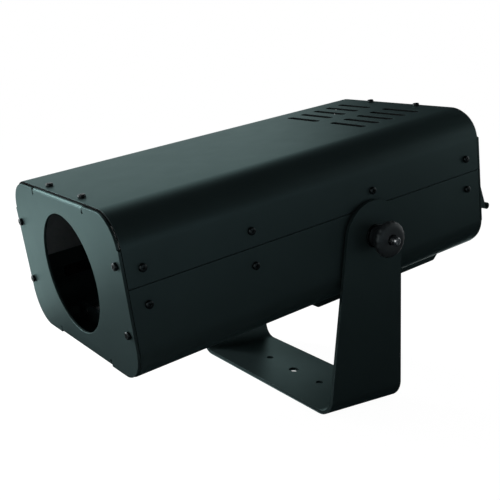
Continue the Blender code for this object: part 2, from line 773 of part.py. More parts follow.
def flange_profile(z_sign, y_sign, face_y):
    """A flange's section in (y, z): up from the plate, round the bend, and back inside the casing."""
    edge_z = TOP_Z if z_sign > 0 else BOTTOM_Z
    outer = edge_z - z_sign * FLANGE_DROP
    centre_y = face_y + y_sign * FLANGE_BEND
    centre_z = outer - z_sign * FLANGE_BEND
    tail = face_y + y_sign * FLANGE_REACH
    root = edge_z - z_sign * (FOLD_ROOM + 1)
    inner = FLANGE_BEND - PLATE
    points = [(face_y, root)]
    for y, z in arc(0, 0, FLANGE_BEND, 180, 90, 5):
        points.append((centre_y + y_sign * y, centre_z + z_sign * z))
    points += [(tail, outer), (tail, outer - z_sign * PLATE)]
    for y, z in arc(0, 0, inner, 90, 180, 3):
        points.append((centre_y + y_sign * y, centre_z + z_sign * z))
    points.append((face_y + y_sign * PLATE, root))
    return points


def end_plate(name, head, face_y, y_sign, openings, screw_y):
    """A flat end plate with its two folded flanges. y_sign points into the casing."""
    holes = [circle(side * FACE_SCREW_X, z, SCREW_HOLE_RADIUS, 12) for side in (-1, 1) for z in FACE_SCREW_Z]
    low = -face_y - PLATE if y_sign > 0 else -face_y
    plate = flat_piece(name, [plate_outline()] + holes + openings, PLATE, "powder_coat", head,
                       turn=XZ_PLATE, low=low)
    room = bmesh.new()
    folds = bmesh.new()
    bores = bmesh.new()
    for z_sign in (-1, 1):
        edge_z = TOP_Z if z_sign > 0 else BOTTOM_Z
        shape_box(room, (-FLANGE_HALF, face_y - y_sign, edge_z + z_sign),
                  (FLANGE_HALF, face_y + y_sign * (PLATE + 1), edge_z - z_sign * FOLD_ROOM))
        profile = flange_profile(z_sign, y_sign, face_y)
        shape_mesh(folds, flat_mesh("fold", [profile], 2 * FLANGE_HALF - 1, turn=YZ_PLATE))
        for side in (-1, 1):
            drill(bores, (side * TOP_SCREW_X, screw_y, edge_z), Z_AXIS, SCREW_HOLE_RADIUS, 2 * OVER)
    cut(plate, tool(name + "_bend_room", head, room))
    join(plate, tool(name + "_folds", head, folds))
    cut(plate, tool(name + "_flange_holes", head, bores))


def make_end_plates(head):
    beam_opening = circle(0, BEAM_Z, LENS_OPENING_RADIUS, 56)
    end_plate("front_plate", head, NOSE_Y, 1, [beam_opening], TOP_SCREW_Y[0])
    openings = []
    for row in range(FAN_SLOT_ROWS):
        z = FAN_Z + (row - (FAN_SLOT_ROWS - 1) / 2) * FAN_SLOT_PITCH
        openings.append(slot_outline(0, z, FAN_SLOT_LENGTH, FAN_SLOT_WIDTH))
    openings.append(box_outline(INLET_X, PANEL_Z, INLET_CAN[0] + GAP, INLET_CAN[1] + GAP))
    openings.append(circle(FUSE_X, PANEL_Z, FUSE_RADIUS + GAP, 20))
    openings.append(box_outline(SWITCH_X, PANEL_Z, SWITCH_BODY[0] + GAP, SWITCH_BODY[1] + GAP))
    openings.append(circle(DIMMER_X, PANEL_Z, DIMMER_BUSH_RADIUS + GAP, 16))
    end_plate("rear_plate", head, TAIL_Y, -1, openings, TOP_SCREW_Y[1])


def screw_profile():
    """A pan head over a plain shank, its underside at height zero."""
    radius = SCREW_HEAD_RADIUS
    height = SCREW_HEAD_HEIGHT
    return [(0, height), (radius * 0.62, height * 0.86), (radius, height * 0.35), (radius, 0),
            (SCREW_RADIUS, 0), (SCREW_RADIUS, -SCREW_LENGTH), (0, -SCREW_LENGTH)]


def make_screws(head):
    """The screws of the nose and of the right side's seam."""
    for level, z in zip(("upper", "lower"), FACE_SCREW_Z):
        for side, word in SIDES:
            turned_piece("face_screw_%s_%s" % (word, level), screw_profile(), "black_screw", head,
                         (side * FACE_SCREW_X, NOSE_Y - GAP, z), AGAINST_Y, 10)
    rows = (("upper", UPPER_SCREW_Z, SIDE_SCREW_Y), ("lower", LOWER_SCREW_Z, lower_side_places()))
    for level, z, places in rows:
        for y in places:
            number = SIDE_SCREW_Y.index(y) + 1
            turned_piece("side_screw_%s_%d" % (level, number), screw_profile(), "black_screw", head,
                         (BODY_HALF + GAP, y, z), ALONG_X, 10)


def make_baffle(head):
    """A shallow pan with sloped ends that hangs under the intake slots and keeps light in."""
    top = BOTTOM_Z - GAP
    low = BOTTOM_Z - BAFFLE_DEPTH
    wall = BAFFLE_WALL
    low_front = BAFFLE_FRONT_Y + BAFFLE_FRONT_SLOPE
    low_rear = BAFFLE_REAR_Y - BAFFLE_REAR_SLOPE
    outline = [(BAFFLE_FRONT_Y, top), (low_front, low), (low_rear, low), (BAFFLE_REAR_Y, top)]
    pan = flat_piece("bottom_baffle", [outline], 2 * BAFFLE_HALF, "powder_coat", head, turn=YZ_PLATE)
    inside = [(BAFFLE_FRONT_Y + wall, top + 1), (low_front + wall, low + wall),
              (low_rear - wall, low + wall), (BAFFLE_REAR_Y - wall, top + 1)]
    hollow = bmesh.new()
    shape_mesh(hollow, flat_mesh("pan", [inside], 2 * (BAFFLE_HALF - wall), turn=YZ_PLATE))
    cut(pan, tool("baffle_hollow", head, hollow))
    gaps = bmesh.new()
    middle = (BAFFLE_FRONT_Y + BAFFLE_REAR_Y) / 2
    for side in (-1, 1):
        for number in range(BAFFLE_GAP_COUNT):
            y = middle + (number - (BAFFLE_GAP_COUNT - 1) / 2) * BAFFLE_GAP_PITCH
            half = BAFFLE_GAP_LENGTH / 2
            shape_box(gaps, (side * (BAFFLE_HALF - OVER / 2), y - half, top - BAFFLE_GAP_HEIGHT),
                      (side * (BAFFLE_HALF + OVER), y + half, top + OVER))
    cut(pan, tool("baffle_side_gaps", head, gaps))


def make_hood(head):
    """A wedge over the fan's slots, open below, with a rolled lower edge."""
    depth = HOOD_DEPTH
    wall = HOOD_WALL
    wedge = [(PANEL_Y, HOOD_TOP_Z), (PANEL_Y, HOOD_FOOT_Z), (PANEL_Y + depth, HOOD_FOOT_Z)]
    hood = flat_piece("rear_hood", [wedge], 2 * HOOD_HALF, "powder_coat", head, turn=YZ_PLATE)
    slope = depth / (HOOD_TOP_Z - HOOD_FOOT_Z)
    setback = wall * math.hypot(1, slope)
    inside = []
    for z in (HOOD_TOP_Z + OVER, HOOD_FOOT_Z - OVER):
        inside.append((PANEL_Y + slope * (HOOD_TOP_Z - z) - setback, z))
    inside = [(PANEL_Y - OVER, HOOD_TOP_Z + OVER), (PANEL_Y - OVER, HOOD_FOOT_Z - OVER)] + inside[::-1]
    hollow = bmesh.new()
    shape_mesh(hollow, flat_mesh("wedge", [inside], 2 * (HOOD_HALF - wall), turn=YZ_PLATE))
    cut(hood, tool("hood_hollow", head, hollow))
    hem = bmesh.new()
    y = PANEL_Y + depth + wall / 2
    shape_rod(hem, (-HOOD_HALF, y, HOOD_FOOT_Z), (HOOD_HALF, y, HOOD_FOOT_Z), HEM_RADIUS, 12)
    join(hood, tool("hood_hem", head, hem))


def lens_profile():
    """A biconvex lens about local z."""
    sag = (LENS_CENTRE_THICK - LENS_EDGE_THICK) / 2
    curve = (LENS_RADIUS ** 2 + sag ** 2) / (2 * sag)
    reach = math.degrees(math.asin(LENS_RADIUS / curve))
    rise = LENS_EDGE_THICK / 2 + sag - curve
    upper = [(-x, z) for x, z in arc(0, rise, curve, 90, 90 + reach, 5)]
    upper[0] = (0, upper[0][1])
    return upper + [(radius, -height) for radius, height in reversed(upper)]


def make_focus(head):
    """The objective on its sliding holder, the rods it slides on and the knob that clamps it."""
    turned_piece("objective_lens", lens_profile(), "clear_glass", head, (0, LENS_Y, BEAM_Z), ALONG_Y, 30)
    ring = tube_profile(LENS_RING_OUTER, LENS_CLEAR_RADIUS, 0, LENS_RING_THICK)
    ring_y = LENS_Y - HOLDER_THICK / 2 - GAP
    turned_piece("lens_ring", ring, "black_screw", head, (0, ring_y, BEAM_Z), AGAINST_Y, 36)
    outline = rounded_box(HOLDER_HALF, ROD_Z - HOLDER_FOOT - BEAM_Z, HOLDER_HIGH, HOLDER_CORNER, 4)
    holes = [circle(0, 0, LENS_CLEAR_RADIUS, 40)]
    holes += [circle(side * ROD_X, ROD_Z - BEAM_Z, ROD_RADIUS + GAP, 15) for side in (-1, 1)]
    holder = flat_piece("lens_holder", [outline] + holes, HOLDER_THICK, "black_plastic", head,
                        (0, LENS_Y, BEAM_Z), turn=XZ_PLATE)
    seat = bmesh.new()
    half = HOLDER_THICK / 2
    shape_rod(seat, (0, -half - OVER, 0), (0, half - HOLDER_LIP, 0), LENS_RADIUS + GAP, 40)
    cut(holder, tool("lens_seat", head, seat, (0, LENS_Y, BEAM_Z)))
    rod = rod_profile(ROD_RADIUS, 0, GATE_Y + GATE_THICK + 1 - BRACKET_Y)
    for side, word in SIDES:
        turned_piece("guide_rod_" + word, rod, "bright_steel", head, (side * ROD_X, BRACKET_Y, ROD_Z),
                     ALONG_Y, 14)
    leg = BRACKET_Y + BRACKET_THICK
    toe = BRACKET_Y + BRACKET_FOOT
    foot_top = FLOOR_Z + BRACKET_SHEET
    top = ROD_Z + BRACKET_HEIGHT
    angle = [(BRACKET_Y, FLOOR_Z), (toe, FLOOR_Z), (toe, foot_top), (leg, foot_top), (leg, top),
             (BRACKET_Y, top)]
    bracket = flat_piece("rod_bracket", [angle], BRACKET_WIDTH, "inner_steel", head, turn=YZ_PLATE)
    bores = bmesh.new()
    for side in (-1, 1):
        drill(bores, (side * ROD_X, BRACKET_Y, ROD_Z), Y_AXIS, ROD_RADIUS + GAP, 2 * OVER, 14)
    cut(bracket, tool("bracket_bores", head, bores))
    stem_x = HOLDER_HALF + GAP
    start = BODY_HALF + 1.5 - stem_x
    end = start + FOCUS_KNOB_LENGTH
    radius = FOCUS_KNOB_RADIUS
    knob = [(0, end), (radius - 1.5, end), (radius, end - 2), (radius, start), (FOCUS_STEM_RADIUS, start),
            (FOCUS_STEM_RADIUS, 0), (0, 0)]
    turned_piece("focus_knob", knob, "black_plastic", head, (-stem_x, LENS_Y, FOCUS_Z), AGAINST_X, 20)


def make_gate(head):
    """The bulkhead at the focus of the lens, and the iris on its front."""
    inside_x = BODY_HALF - SHEET - GATE_WALL_ROOM
    outline = rounded_box(inside_x, FLOOR_Z, TOP_Z - SHEET - GAP, CORNER_RADIUS - SHEET, 6)
    holes = [circle(0, BEAM_Z, GATE_APERTURE, 32), circle(WHEEL_X, BEAM_Z, WHEEL_BORE, 16)]
    holes += [circle(side * ROD_X, ROD_Z, ROD_RADIUS + GAP, 15) for side in (-1, 1)]
    gate = flat_piece("gate_plate", [outline] + holes, GATE_THICK, "inner_steel", head, (0, GATE_Y, 0),
                      turn=XZ_PLATE)
    bays = bmesh.new()
    for side in (-1, 1):
        shape_box(bays, (side * (inside_x - GATE_BAY), GATE_Y - OVER, LOWER_SCREW_Z - RAIL_MARGIN - 1),
                  (side * (inside_x + OVER), GATE_Y + OVER, UPPER_SCREW_Z + RAIL_MARGIN + 1))
    cut(gate, tool("gate_bays", head, bays))
    base = GATE_Y - GATE_THICK / 2 - GAP
    inner = IRIS_OUTER - IRIS_WALL
    cup = [(IRIS_OUTER, IRIS_DEPTH), (IRIS_OUTER, 0), (IRIS_APERTURE, 0), (IRIS_APERTURE, IRIS_FLOOR),
           (inner, IRIS_FLOOR), (inner, IRIS_DEPTH)]
    iris = turned_piece("iris_housing", cup, "aluminium", head, (0, base, BEAM_Z), AGAINST_Y, 40)
    window = bmesh.new()
    half = math.sin(math.radians(IRIS_HALF_SWING_DEG)) * IRIS_OUTER + IRIS_SLOT_ROOM
    shape_box(window, (-IRIS_OUTER - OVER, base - IRIS_DEPTH - OVER, BEAM_Z - half),
              (-IRIS_OUTER + 2 * OVER, base - IRIS_DEPTH + OVER, BEAM_Z + half))
    cut(iris, tool("iris_window", head, window))
    thick = IRIS_RING_HALF_THICK
    ring = tube_profile(IRIS_RING_OUTER, IRIS_RING_INNER, -thick, thick)
    place = (0, IRIS_LEVER_Y, BEAM_Z)
    lever = turned_piece("iris_ring", ring, "black_screw", head, place, AGAINST_Y, 40)
    rods = (("stem", IRIS_RING_OUTER - 2.5, IRIS_LEVER_END, IRIS_LEVER_RADIUS),
            ("grip", IRIS_GRIP_START, IRIS_GRIP_END, IRIS_GRIP_RADIUS))
    for word, start, end, radius in rods:
        handle = bmesh.new()
        shape_rod(handle, (-start, 0, 0), (-end, 0, 0), radius, 12)
        join(lever, tool("iris_lever_" + word, head, handle, place))


def make_colour_wheel(head):
    """A disc of colour filters behind the gate, turned by its rim, and the pin it runs on."""
    reach = -WHEEL_X
    places = [2 * math.pi * number / WHEEL_PLACES for number in range(WHEEL_PLACES)]
    centres = [(reach * math.cos(angle), reach * math.sin(angle)) for angle in places]
    holes = [circle(x, z, FILTER_RADIUS + GAP, 16) for x, z in centres] + [circle(0, 0, WHEEL_BORE, 16)]
    rim = []
    for step in range(2 * WHEEL_TEETH):
        angle = math.pi * step / WHEEL_TEETH
        radius = WHEEL_RADIUS - WHEEL_TOOTH * (1 - step % 2)
        rim.append((radius * math.cos(angle), radius * math.sin(angle)))
    flat_piece("colour_wheel", [rim] + holes, WHEEL_THICK, "aluminium", head, (WHEEL_X, WHEEL_Y, BEAM_Z),
               turn=XZ_PLATE)
    disc = rod_profile(FILTER_RADIUS, -FILTER_THICK / 2, FILTER_THICK / 2)
    for number, (kind, centre) in enumerate(zip(FILTER_GLASSES, centres[1:]), 1):
        place = (WHEEL_X + centre[0], WHEEL_Y, BEAM_Z + centre[1])
        turned_piece("colour_filter_%d" % number, disc, kind, head, place, ALONG_Y, 16)
    neck = PIN_LENGTH - PIN_HEAD_THICK
    pin = [(0, PIN_LENGTH), (PIN_HEAD_RADIUS, PIN_LENGTH), (PIN_HEAD_RADIUS, neck), (PIN_RADIUS, neck),
           (PIN_RADIUS, 0), (0, 0)]
    turned_piece("wheel_pin", pin, "bright_steel", head, (WHEEL_X, GATE_Y - 1.2, BEAM_Z), ALONG_Y, 16)


def make_light_engine(head):
    """The emitter on its heat sink, with the condenser in its tube."""
    tube = tube_profile(TUBE_OUTER, TUBE_INNER, 0, HEAT_SINK_Y - GAP - TUBE_FRONT)
    turned_piece("condenser_tube", tube, "aluminium", head, (0, TUBE_FRONT, BEAM_Z), ALONG_Y, 32)
    bulge = CONDENSER_RISE
    edge = CONDENSER_RADIUS * 0.9
    curve = (edge ** 2 + bulge ** 2) / (2 * bulge)
    reach = math.degrees(math.asin(edge / curve))
    dome = [(-x, z) for x, z in arc(0, CONDENSER_RIM + bulge - curve, curve, 90, 90 + reach, 4)]
    dome[0] = (0, dome[0][1])
    dome += [(CONDENSER_RADIUS, CONDENSER_RIM), (CONDENSER_RADIUS, 0), (0, 0)]
    turned_piece("condenser_lens", dome, "clear_glass", head, (0, CONDENSER_Y, BEAM_Z), AGAINST_Y, 28)
    board = rounded_box(BOARD_HALF, -BOARD_HALF, BOARD_HALF, BOARD_CORNER, 2)
    board_y = HEAT_SINK_Y - GAP - BOARD_THICK / 2
    flat_piece("led_board", [board], BOARD_THICK, "white_board", head, (0, board_y, BEAM_Z), turn=XZ_PLATE)
    half = HEAT_SINK_HALF
    pitch = (2 * half - FIN_THICK) / (FIN_COUNT - 1)
    root = HEAT_SINK_Y + HEAT_SINK_BASE
    end = HEAT_SINK_Y + HEAT_SINK_DEPTH
    comb = [(half, HEAT_SINK_Y), (half, end)]
    for number in range(FIN_COUNT - 1):
        right = half - FIN_THICK - number * pitch
        left = right - pitch + FIN_THICK
        comb += [(right, end), (right, root), (left, root), (left, end)]
    comb += [(-half, end), (-half, HEAT_SINK_Y)]
    flat_piece("heat_sink", [comb], BEAM_Z + half - FLOOR_Z, "aluminium", head, low=FLOOR_Z)


def make_fan(head):
    """An axial fan against the rear plate: its square frame and its rotor."""
    half = FAN_HALF
    middle = (0, FAN_Y + FAN_DEPTH / 2, FAN_Z)
    square = rounded_box(half, -half, half, FAN_CORNER, 2)
    frame = flat_piece("fan_frame", [square, circle(0, 0, half - FAN_WALL, 36)], FAN_DEPTH, "black_plastic",
                       head, middle, turn=XZ_PLATE)
    back = FAN_DEPTH / 2
    plate = bmesh.new()
    shape_rod(plate, (0, back - FAN_HUB_THICK, 0), (0, back, 0), FAN_HUB_RADIUS, 24)
    join(frame, tool("fan_hub", head, plate, middle))
    struts = bmesh.new()
    strut_y = back - FAN_STRUT_INSET
    for angle_deg in (45, 165, 285):
        spoke = Vector((math.cos(math.radians(angle_deg)), 0, math.sin(math.radians(angle_deg))))
        level = Y_AXIS * strut_y
        shape_rod(struts, level + spoke * (FAN_HUB_RADIUS - 5), level + spoke * (half - FAN_WALL / 2),
                  FAN_STRUT_RADIUS, 8)
    join(frame, tool("fan_struts", head, struts, middle))
    length = FAN_HUB_LENGTH
    hub = [(0, length), (FAN_HUB_RADIUS - 1, length), (FAN_HUB_RADIUS, length - 1), (FAN_HUB_RADIUS, 0),
           (0, 0)]
    centre = (0, FAN_Y + FAN_DEPTH - FAN_HUB_THICK - GAP, FAN_Z)
    rotor = turned_piece("fan_rotor", hub, "black_plastic", head, centre, AGAINST_Y, 24)
    blades = bmesh.new()
    pitch = Matrix.Rotation(math.radians(BLADE_PITCH_DEG), 4, "X")
    size = Matrix.Diagonal((*(Vector(BLADE_SIZE) * MM), 1))
    for number in range(BLADE_COUNT):
        turn = Matrix.Rotation(2 * math.pi * number / BLADE_COUNT, 4, "Y")
        out = Matrix.Translation((BLADE_MIDDLE * MM, -BLADE_BACK * MM, 0))
        bmesh.ops.create_cube(blades, size=1, matrix=turn @ out @ pitch @ size)
    join(rotor, tool("fan_blades", head, blades, centre))


def make_driver(head):
    """The potted supply box, on the left seam rail."""
    box = bmesh.new()
    outer_x = BODY_HALF - SHEET - GAP - RAIL_THICK - GAP
    shape_box(box, (-outer_x, DRIVER_FRONT_Y, DRIVER_LOW_Z), (DRIVER_INNER_X, DRIVER_BACK_Y, DRIVER_HIGH_Z))
    mesh = bpy.data.meshes.new("led_driver")
    box.to_mesh(mesh)
    box.free()
    driver = mesh_piece("led_driver", mesh, "aluminium", head)
    edges = driver.modifiers.new("edges", "BEVEL")
    edges.width = DRIVER_EDGE * MM
    edges.segments = 1


def panel_box(shape, half_x, half_z, depth, proud=0.0):
    """Add a box that goes in through the rear plate, about a fitting's own centre."""
    shape_box(shape, (-half_x, -depth, -half_z), (half_x, proud, half_z))


def make_inlet(head):
    half_x, half_z = INLET_FLANGE
    thick = INLET_FLANGE_THICK
    flange = rounded_box(half_x, -half_z, half_z, 3, 3)
    inlet = flat_piece("mains_inlet", [flange], thick, "black_plastic", head,
                       (INLET_X, PANEL_Y + thick / 2, PANEL_Z), turn=XZ_PLATE)
    place = (INLET_X, PANEL_Y + 1, PANEL_Z)
    can = bmesh.new()
    panel_box(can, *INLET_CAN)
    join(inlet, tool("inlet_can", head, can, place))
    well = bmesh.new()
    panel_box(well, *INLET_WELL, proud=OVER)
    cut(inlet, tool("inlet_well", head, well, place))


def make_fuse(head):
    cap = FUSE_CAP_RADIUS
    high = FUSE_CAP_LENGTH
    holder = [(0, high), (cap - 0.6, high), (cap, high - 1), (cap, 0), (FUSE_RADIUS, 0),
              (FUSE_RADIUS, -FUSE_LENGTH), (0, -FUSE_LENGTH)]
    turned_piece("fuse_holder", holder, "black_plastic", head, (FUSE_X, PANEL_Y, PANEL_Z), ALONG_Y, 20)


def make_switch(head):
    """A rocker that tips about its middle in a snap-in frame."""
    thick = SWITCH_FLANGE_THICK
    frame = flat_piece("switch_frame", [box_outline(0, 0, *SWITCH_FLANGE)], thick, "black_plastic", head,
                       (SWITCH_X, PANEL_Y + thick / 2, PANEL_Z), turn=XZ_PLATE)
    place = (SWITCH_X, PANEL_Y + 1, PANEL_Z)
    body = bmesh.new()
    panel_box(body, *SWITCH_BODY)
    join(frame, tool("switch_body", head, body, place))
    mouth = bmesh.new()
    panel_box(mouth, *SWITCH_MOUTH, proud=OVER)
    cut(frame, tool("switch_mouth", head, mouth, place))
    half = ROCKER_HALF
    keel = [(-half, 2.2), (-half + 0.6, -1.2), (0, -4.6), (half - 0.6, -2.8), (half, -0.2), (0, 0.9)]
    flat_piece("power_switch", [keel], ROCKER_WIDTH, "black_plastic", head,
               (SWITCH_X, PANEL_Y + ROCKER_Y, PANEL_Z))


def make_dimmer(head):
    """A turned control behind the rear plate, its bush and shaft through it, and its knob."""
    out = DIMMER_STICKS_OUT
    bush = DIMMER_BUSH_RADIUS
    seat = -PLATE - 2 * GAP
    body = DIMMER_BODY_RADIUS
    pot = [(0, out), (bush, out), (bush, seat), (body, seat), (body, -DIMMER_BODY_LENGTH),
           (0, -DIMMER_BODY_LENGTH)]
    turned_piece("dimmer_control", pot, "aluminium", head, (DIMMER_X, TAIL_Y, PANEL_Z), ALONG_Y, 20)
    radius = DIMMER_KNOB_RADIUS
    high = DIMMER_KNOB_LENGTH
    knob = [(0, high), (radius - 1.3, high), (radius - 0.3, high - 1), (radius, 0), (0, 0)]
    turned_piece("dimmer_knob", knob, "black_plastic", head, (DIMMER_X, TAIL_Y + out + GAP, PANEL_Z),
                 ALONG_Y, 24)


def main():
    stand = new_empty("stand", (0, PIVOT_Y, 0))
    pitch = Matrix.Rotation(math.radians(HEAD_PITCH_DEG), 4, "X")
    head = new_empty("tilt_axis", (0, PIVOT_Y, PIVOT_Z), pitch)
    make_yoke(stand)
    make_top_shell(head)
    make_bottom_shell(head)
    make_end_plates(head)
    make_seam_rails(head)
    make_baffle(head)
    make_hood(head)
    for side, word in SIDES:
        make_tilt_lock(head, side, word)
    make_focus(head)
    make_gate(head)
    make_colour_wheel(head)
    make_light_engine(head)
    make_fan(head)
    make_driver(head)
    make_inlet(head)
    make_fuse(head)
    make_switch(head)
    make_dimmer(head)
    make_screws(head)


main()
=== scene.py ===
"""A compact theatre followspot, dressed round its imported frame.

Shapes are drawn in millimetres. Most are drawn in the head's own frame, level about the tilt
axis with the nose towards -y, and the yoke is drawn standing under that axis. A piece is
scaled to metres and set in its place when it is made. Right is +x.
"""

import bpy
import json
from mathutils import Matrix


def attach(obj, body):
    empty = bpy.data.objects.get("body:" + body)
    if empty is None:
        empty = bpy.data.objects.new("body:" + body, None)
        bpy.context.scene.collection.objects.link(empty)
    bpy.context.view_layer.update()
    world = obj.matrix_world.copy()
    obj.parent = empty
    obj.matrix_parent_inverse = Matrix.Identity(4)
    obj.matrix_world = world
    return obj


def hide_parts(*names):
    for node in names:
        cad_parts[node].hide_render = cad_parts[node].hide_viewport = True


bl_info = {
    "name": "Followspot",
    "version": (1, 0, 0),
    "blender": (4, 5, 0),
    "location": "3D View > Sidebar > Followspot",
    "description": "Dresses a compact followspot: folded steel, fasteners, optics and controls",
    "category": "Object",
}

import json
import math
from types import SimpleNamespace

import bmesh
import bpy
from bpy.props import FloatProperty, FloatVectorProperty, IntProperty, PointerProperty
from mathutils import Matrix, Vector

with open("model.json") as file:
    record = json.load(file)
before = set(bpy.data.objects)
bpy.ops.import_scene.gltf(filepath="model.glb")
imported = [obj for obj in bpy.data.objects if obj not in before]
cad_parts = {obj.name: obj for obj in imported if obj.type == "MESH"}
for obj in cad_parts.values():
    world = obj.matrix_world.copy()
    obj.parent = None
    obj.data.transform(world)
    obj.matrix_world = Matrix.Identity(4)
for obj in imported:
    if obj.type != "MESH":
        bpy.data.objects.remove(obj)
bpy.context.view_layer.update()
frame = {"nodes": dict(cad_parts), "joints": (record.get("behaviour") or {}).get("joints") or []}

MM = 0.001
X_AXIS = Vector((1, 0, 0))
Y_AXIS = Vector((0, 1, 0))
Z_AXIS = Vector((0, 0, 1))

# A turned piece's own z axis is laid along these
ALONG_X = Matrix.Rotation(math.radians(90), 4, "Y")
AGAINST_X = Matrix.Rotation(math.radians(-90), 4, "Y")
ALONG_Y = Matrix.Rotation(math.radians(-90), 4, "X")
AGAINST_Y = Matrix.Rotation(math.radians(90), 4, "X")

# A flat drawn in y and z, which looks along x
SIDEWAYS = Matrix(((0, 0, 1, 0), (1, 0, 0, 0), (0, 1, 0, 0), (0, 0, 0, 1)))

JOINTS = {joint["name"]: joint for joint in frame["joints"]}
PIVOT = Vector(JOINTS["head_tilt"]["pos_m"])
BEAM = -Vector(JOINTS["focus_slide"]["axis"])

SIDES = ((1, "right"), (-1, "left"))
SHARP = math.radians(32)
DRESSED = "dressed_"
MERGE = 1e-4


def head_matrix():
    """The head's own frame: the origin on the tilt axis, and +y back along the beam."""
    turned_columns = (X_AXIS, -BEAM, X_AXIS.cross(-BEAM))
    turned_matrix = Matrix(turned_columns).transposed().to_4x4()
    return Matrix.Translation(PIVOT) @ turned_matrix


HEAD = head_matrix()
STAND = Matrix.Translation((0, PIVOT.y, 0))


def span(node, place=HEAD):
    """A CAD node's lowest and highest corners in a frame of its own, in millimetres."""
    back = place.inverted()
    points = [back @ vert.co for vert in frame["nodes"][node].data.vertices]
    low = Vector([round(min(point[axis] for point in points) / MM, 2) for axis in range(3)])
    high = Vector([round(max(point[axis] for point in points) / MM, 2) for axis in range(3)])
    return low, high


def middle_of(node):
    """The middle of a CAD node's box, in the head's frame."""
    low, high = span(node)
    return (low + high) / 2


def at(x, y, z, turn=None):
    """A place in the head's frame, with a turn of the piece about it."""
    return HEAD @ Matrix.Translation((x * MM, y * MM, z * MM)) @ (turn or Matrix.Identity(4))


# What the frame fixes, in the head's frame
TOP_LOW, TOP_HIGH = span("top_shell")
BOTTOM_LOW, BOTTOM_HIGH = span("bottom_shell")
BODY_HALF = TOP_HIGH.x
TOP_Z = TOP_HIGH.z
BOTTOM_Z = BOTTOM_LOW.z
TOP_SEAM = TOP_LOW.z
BOTTOM_SEAM = BOTTOM_HIGH.z
SHELL_FRONT = TOP_LOW.y
SHELL_REAR = TOP_HIGH.y
TAIL_Y = span("rear_plate")[1].y
BEAM_Z = middle_of("objective_lens").z
PIVOT_Z = PIVOT.z / MM


# Outlines

def arc(centre_x, centre_y, radius, start_deg, end_deg, steps):
    """Points along an arc, both ends included."""
    points = []
    for step in range(steps + 1):
        angle = math.radians(start_deg + (end_deg - start_deg) * step / steps)
        points.append((centre_x + radius * math.cos(angle), centre_y + radius * math.sin(angle)))
    return points


def circle(centre_x, centre_y, radius, steps=48):
    return arc(centre_x, centre_y, radius, 0, 360, steps)[:-1]


def circles(x_places, y_places, radius, steps=24):
    """A circle at every pairing of the places along both axes."""
    return [circle(x, y, radius, steps) for x in x_places for y in y_places]


def both(reach):
    """The same reach to either side."""
    return -reach, reach


def polar(radius, angle):
    return radius * math.cos(angle), radius * math.sin(angle)


def spaced(count, start=0.0):
    """Angles spaced evenly round a full turn."""
    return [math.tau * (start + number) / count for number in range(count)]


def rectangle(low_x, low_y, high_x, high_y):
    return [(low_x, low_y), (high_x, low_y), (high_x, high_y), (low_x, high_y)]


def rounded_box(centre_x, centre_y, half_x, half_y, radius, steps=6):
    """A rounded rectangle about its middle."""
    points = []
    for x_sign, y_sign, start in ((1, 1, 0), (-1, 1, 90), (-1, -1, 180), (1, -1, 270)):
        x = centre_x + x_sign * (half_x - radius)
        y = centre_y + y_sign * (half_y - radius)
        points += arc(x, y, radius, start, start + 90, steps)
    return points


def slot_outline(centre_x, centre_y, length, width, steps=8):
    """A slot with round ends, along the first axis."""
    reach = (length - width) / 2
    right = arc(centre_x + reach, centre_y, width / 2, -90, 90, steps)
    return right + arc(centre_x - reach, centre_y, width / 2, 90, 270, steps)


def notch(edge, depth, centre, width):
    """A slot's points, in from an edge at s = edge to a round end: it opens towards the edge."""
    inward = 1 if depth > 0 else -1
    end = edge + depth - inward * width / 2
    turn = arc(0, 0, width / 2, -90, 90, 8)
    return [(edge, centre - width / 2), *((end + inward * x, centre + y) for x, y in turn),
            (edge, centre + width / 2)]


# Shapes

def face_up(shape, direction=Z_AXIS):
    """Turn an open shape's faces to look along a direction."""
    shape.normal_update()
    if sum(face.normal.dot(direction) * face.calc_area() for face in shape.faces) < 0:
        bmesh.ops.reverse_faces(shape, faces=shape.faces)


def tidy(shape):
    """Merge what meets, and turn a closed shape's faces outwards."""
    bmesh.ops.remove_doubles(shape, verts=shape.verts, dist=MERGE)
    bmesh.ops.recalc_face_normals(shape, faces=shape.faces)
    return shape


def moved_in(outline, margin, hole):
    """An outline's points moved into the sheet by a margin."""
    after = outline[1:] + outline[:1]
    area = sum(a[0] * b[1] - b[0] * a[1] for a, b in zip(outline, after))
    side = margin if (area > 0) != hole else -margin
    inner = []
    for last, here, following in zip(outline[-1:] + outline[:-1], outline, after):
        first = (Vector(here) - Vector(last)).normalized().orthogonal()
        second = (Vector(following) - Vector(here)).normalized().orthogonal()
        inner.append(Vector(here) + side * (first + second) / max(0.3, 1 + first.dot(second)))
    return inner


def flat_shape(*outlines, margin=0.9, bends=()):
    """A flat sheet that looks along +z. The first outline is its edge, the rest are holes.

    A margin of quads follows every outline, so that rounding an edge leaves the flat alone. It
    leaves out the bend lines, which are given as places along x.
    """
    shape = bmesh.new()
    edges = []
    for number, outline in enumerate(outlines):
        ring = [shape.verts.new((x, y, 0)) for x, y in outline]
        if margin:
            outer = ring
            ring = []
            for vert, (x, y) in zip(outer, moved_in(outline, margin, number > 0)):
                bend = [place for place in bends if abs(vert.co.x - place) < MERGE]
                ring.append(shape.verts.new((bend[0] if bend else x, y, 0)))
            for a, b, c, d in zip(outer, outer[1:] + outer[:1], ring[1:] + ring[:1], ring):
                if max(abs(other.co.x - a.co.x) for other in (b, c, d)) >= MERGE:
                    shape.faces.new((a, b, c, d))
        for pair in zip(ring, ring[1:] + ring[:1]):
            edges.append(shape.edges.get(pair) or shape.edges.new(pair))
    bmesh.ops.triangle_fill(shape, edges=edges, use_beauty=True, normal=Z_AXIS)
    bmesh.ops.recalc_face_normals(shape, faces=shape.faces)
    face_up(shape)
    return shape


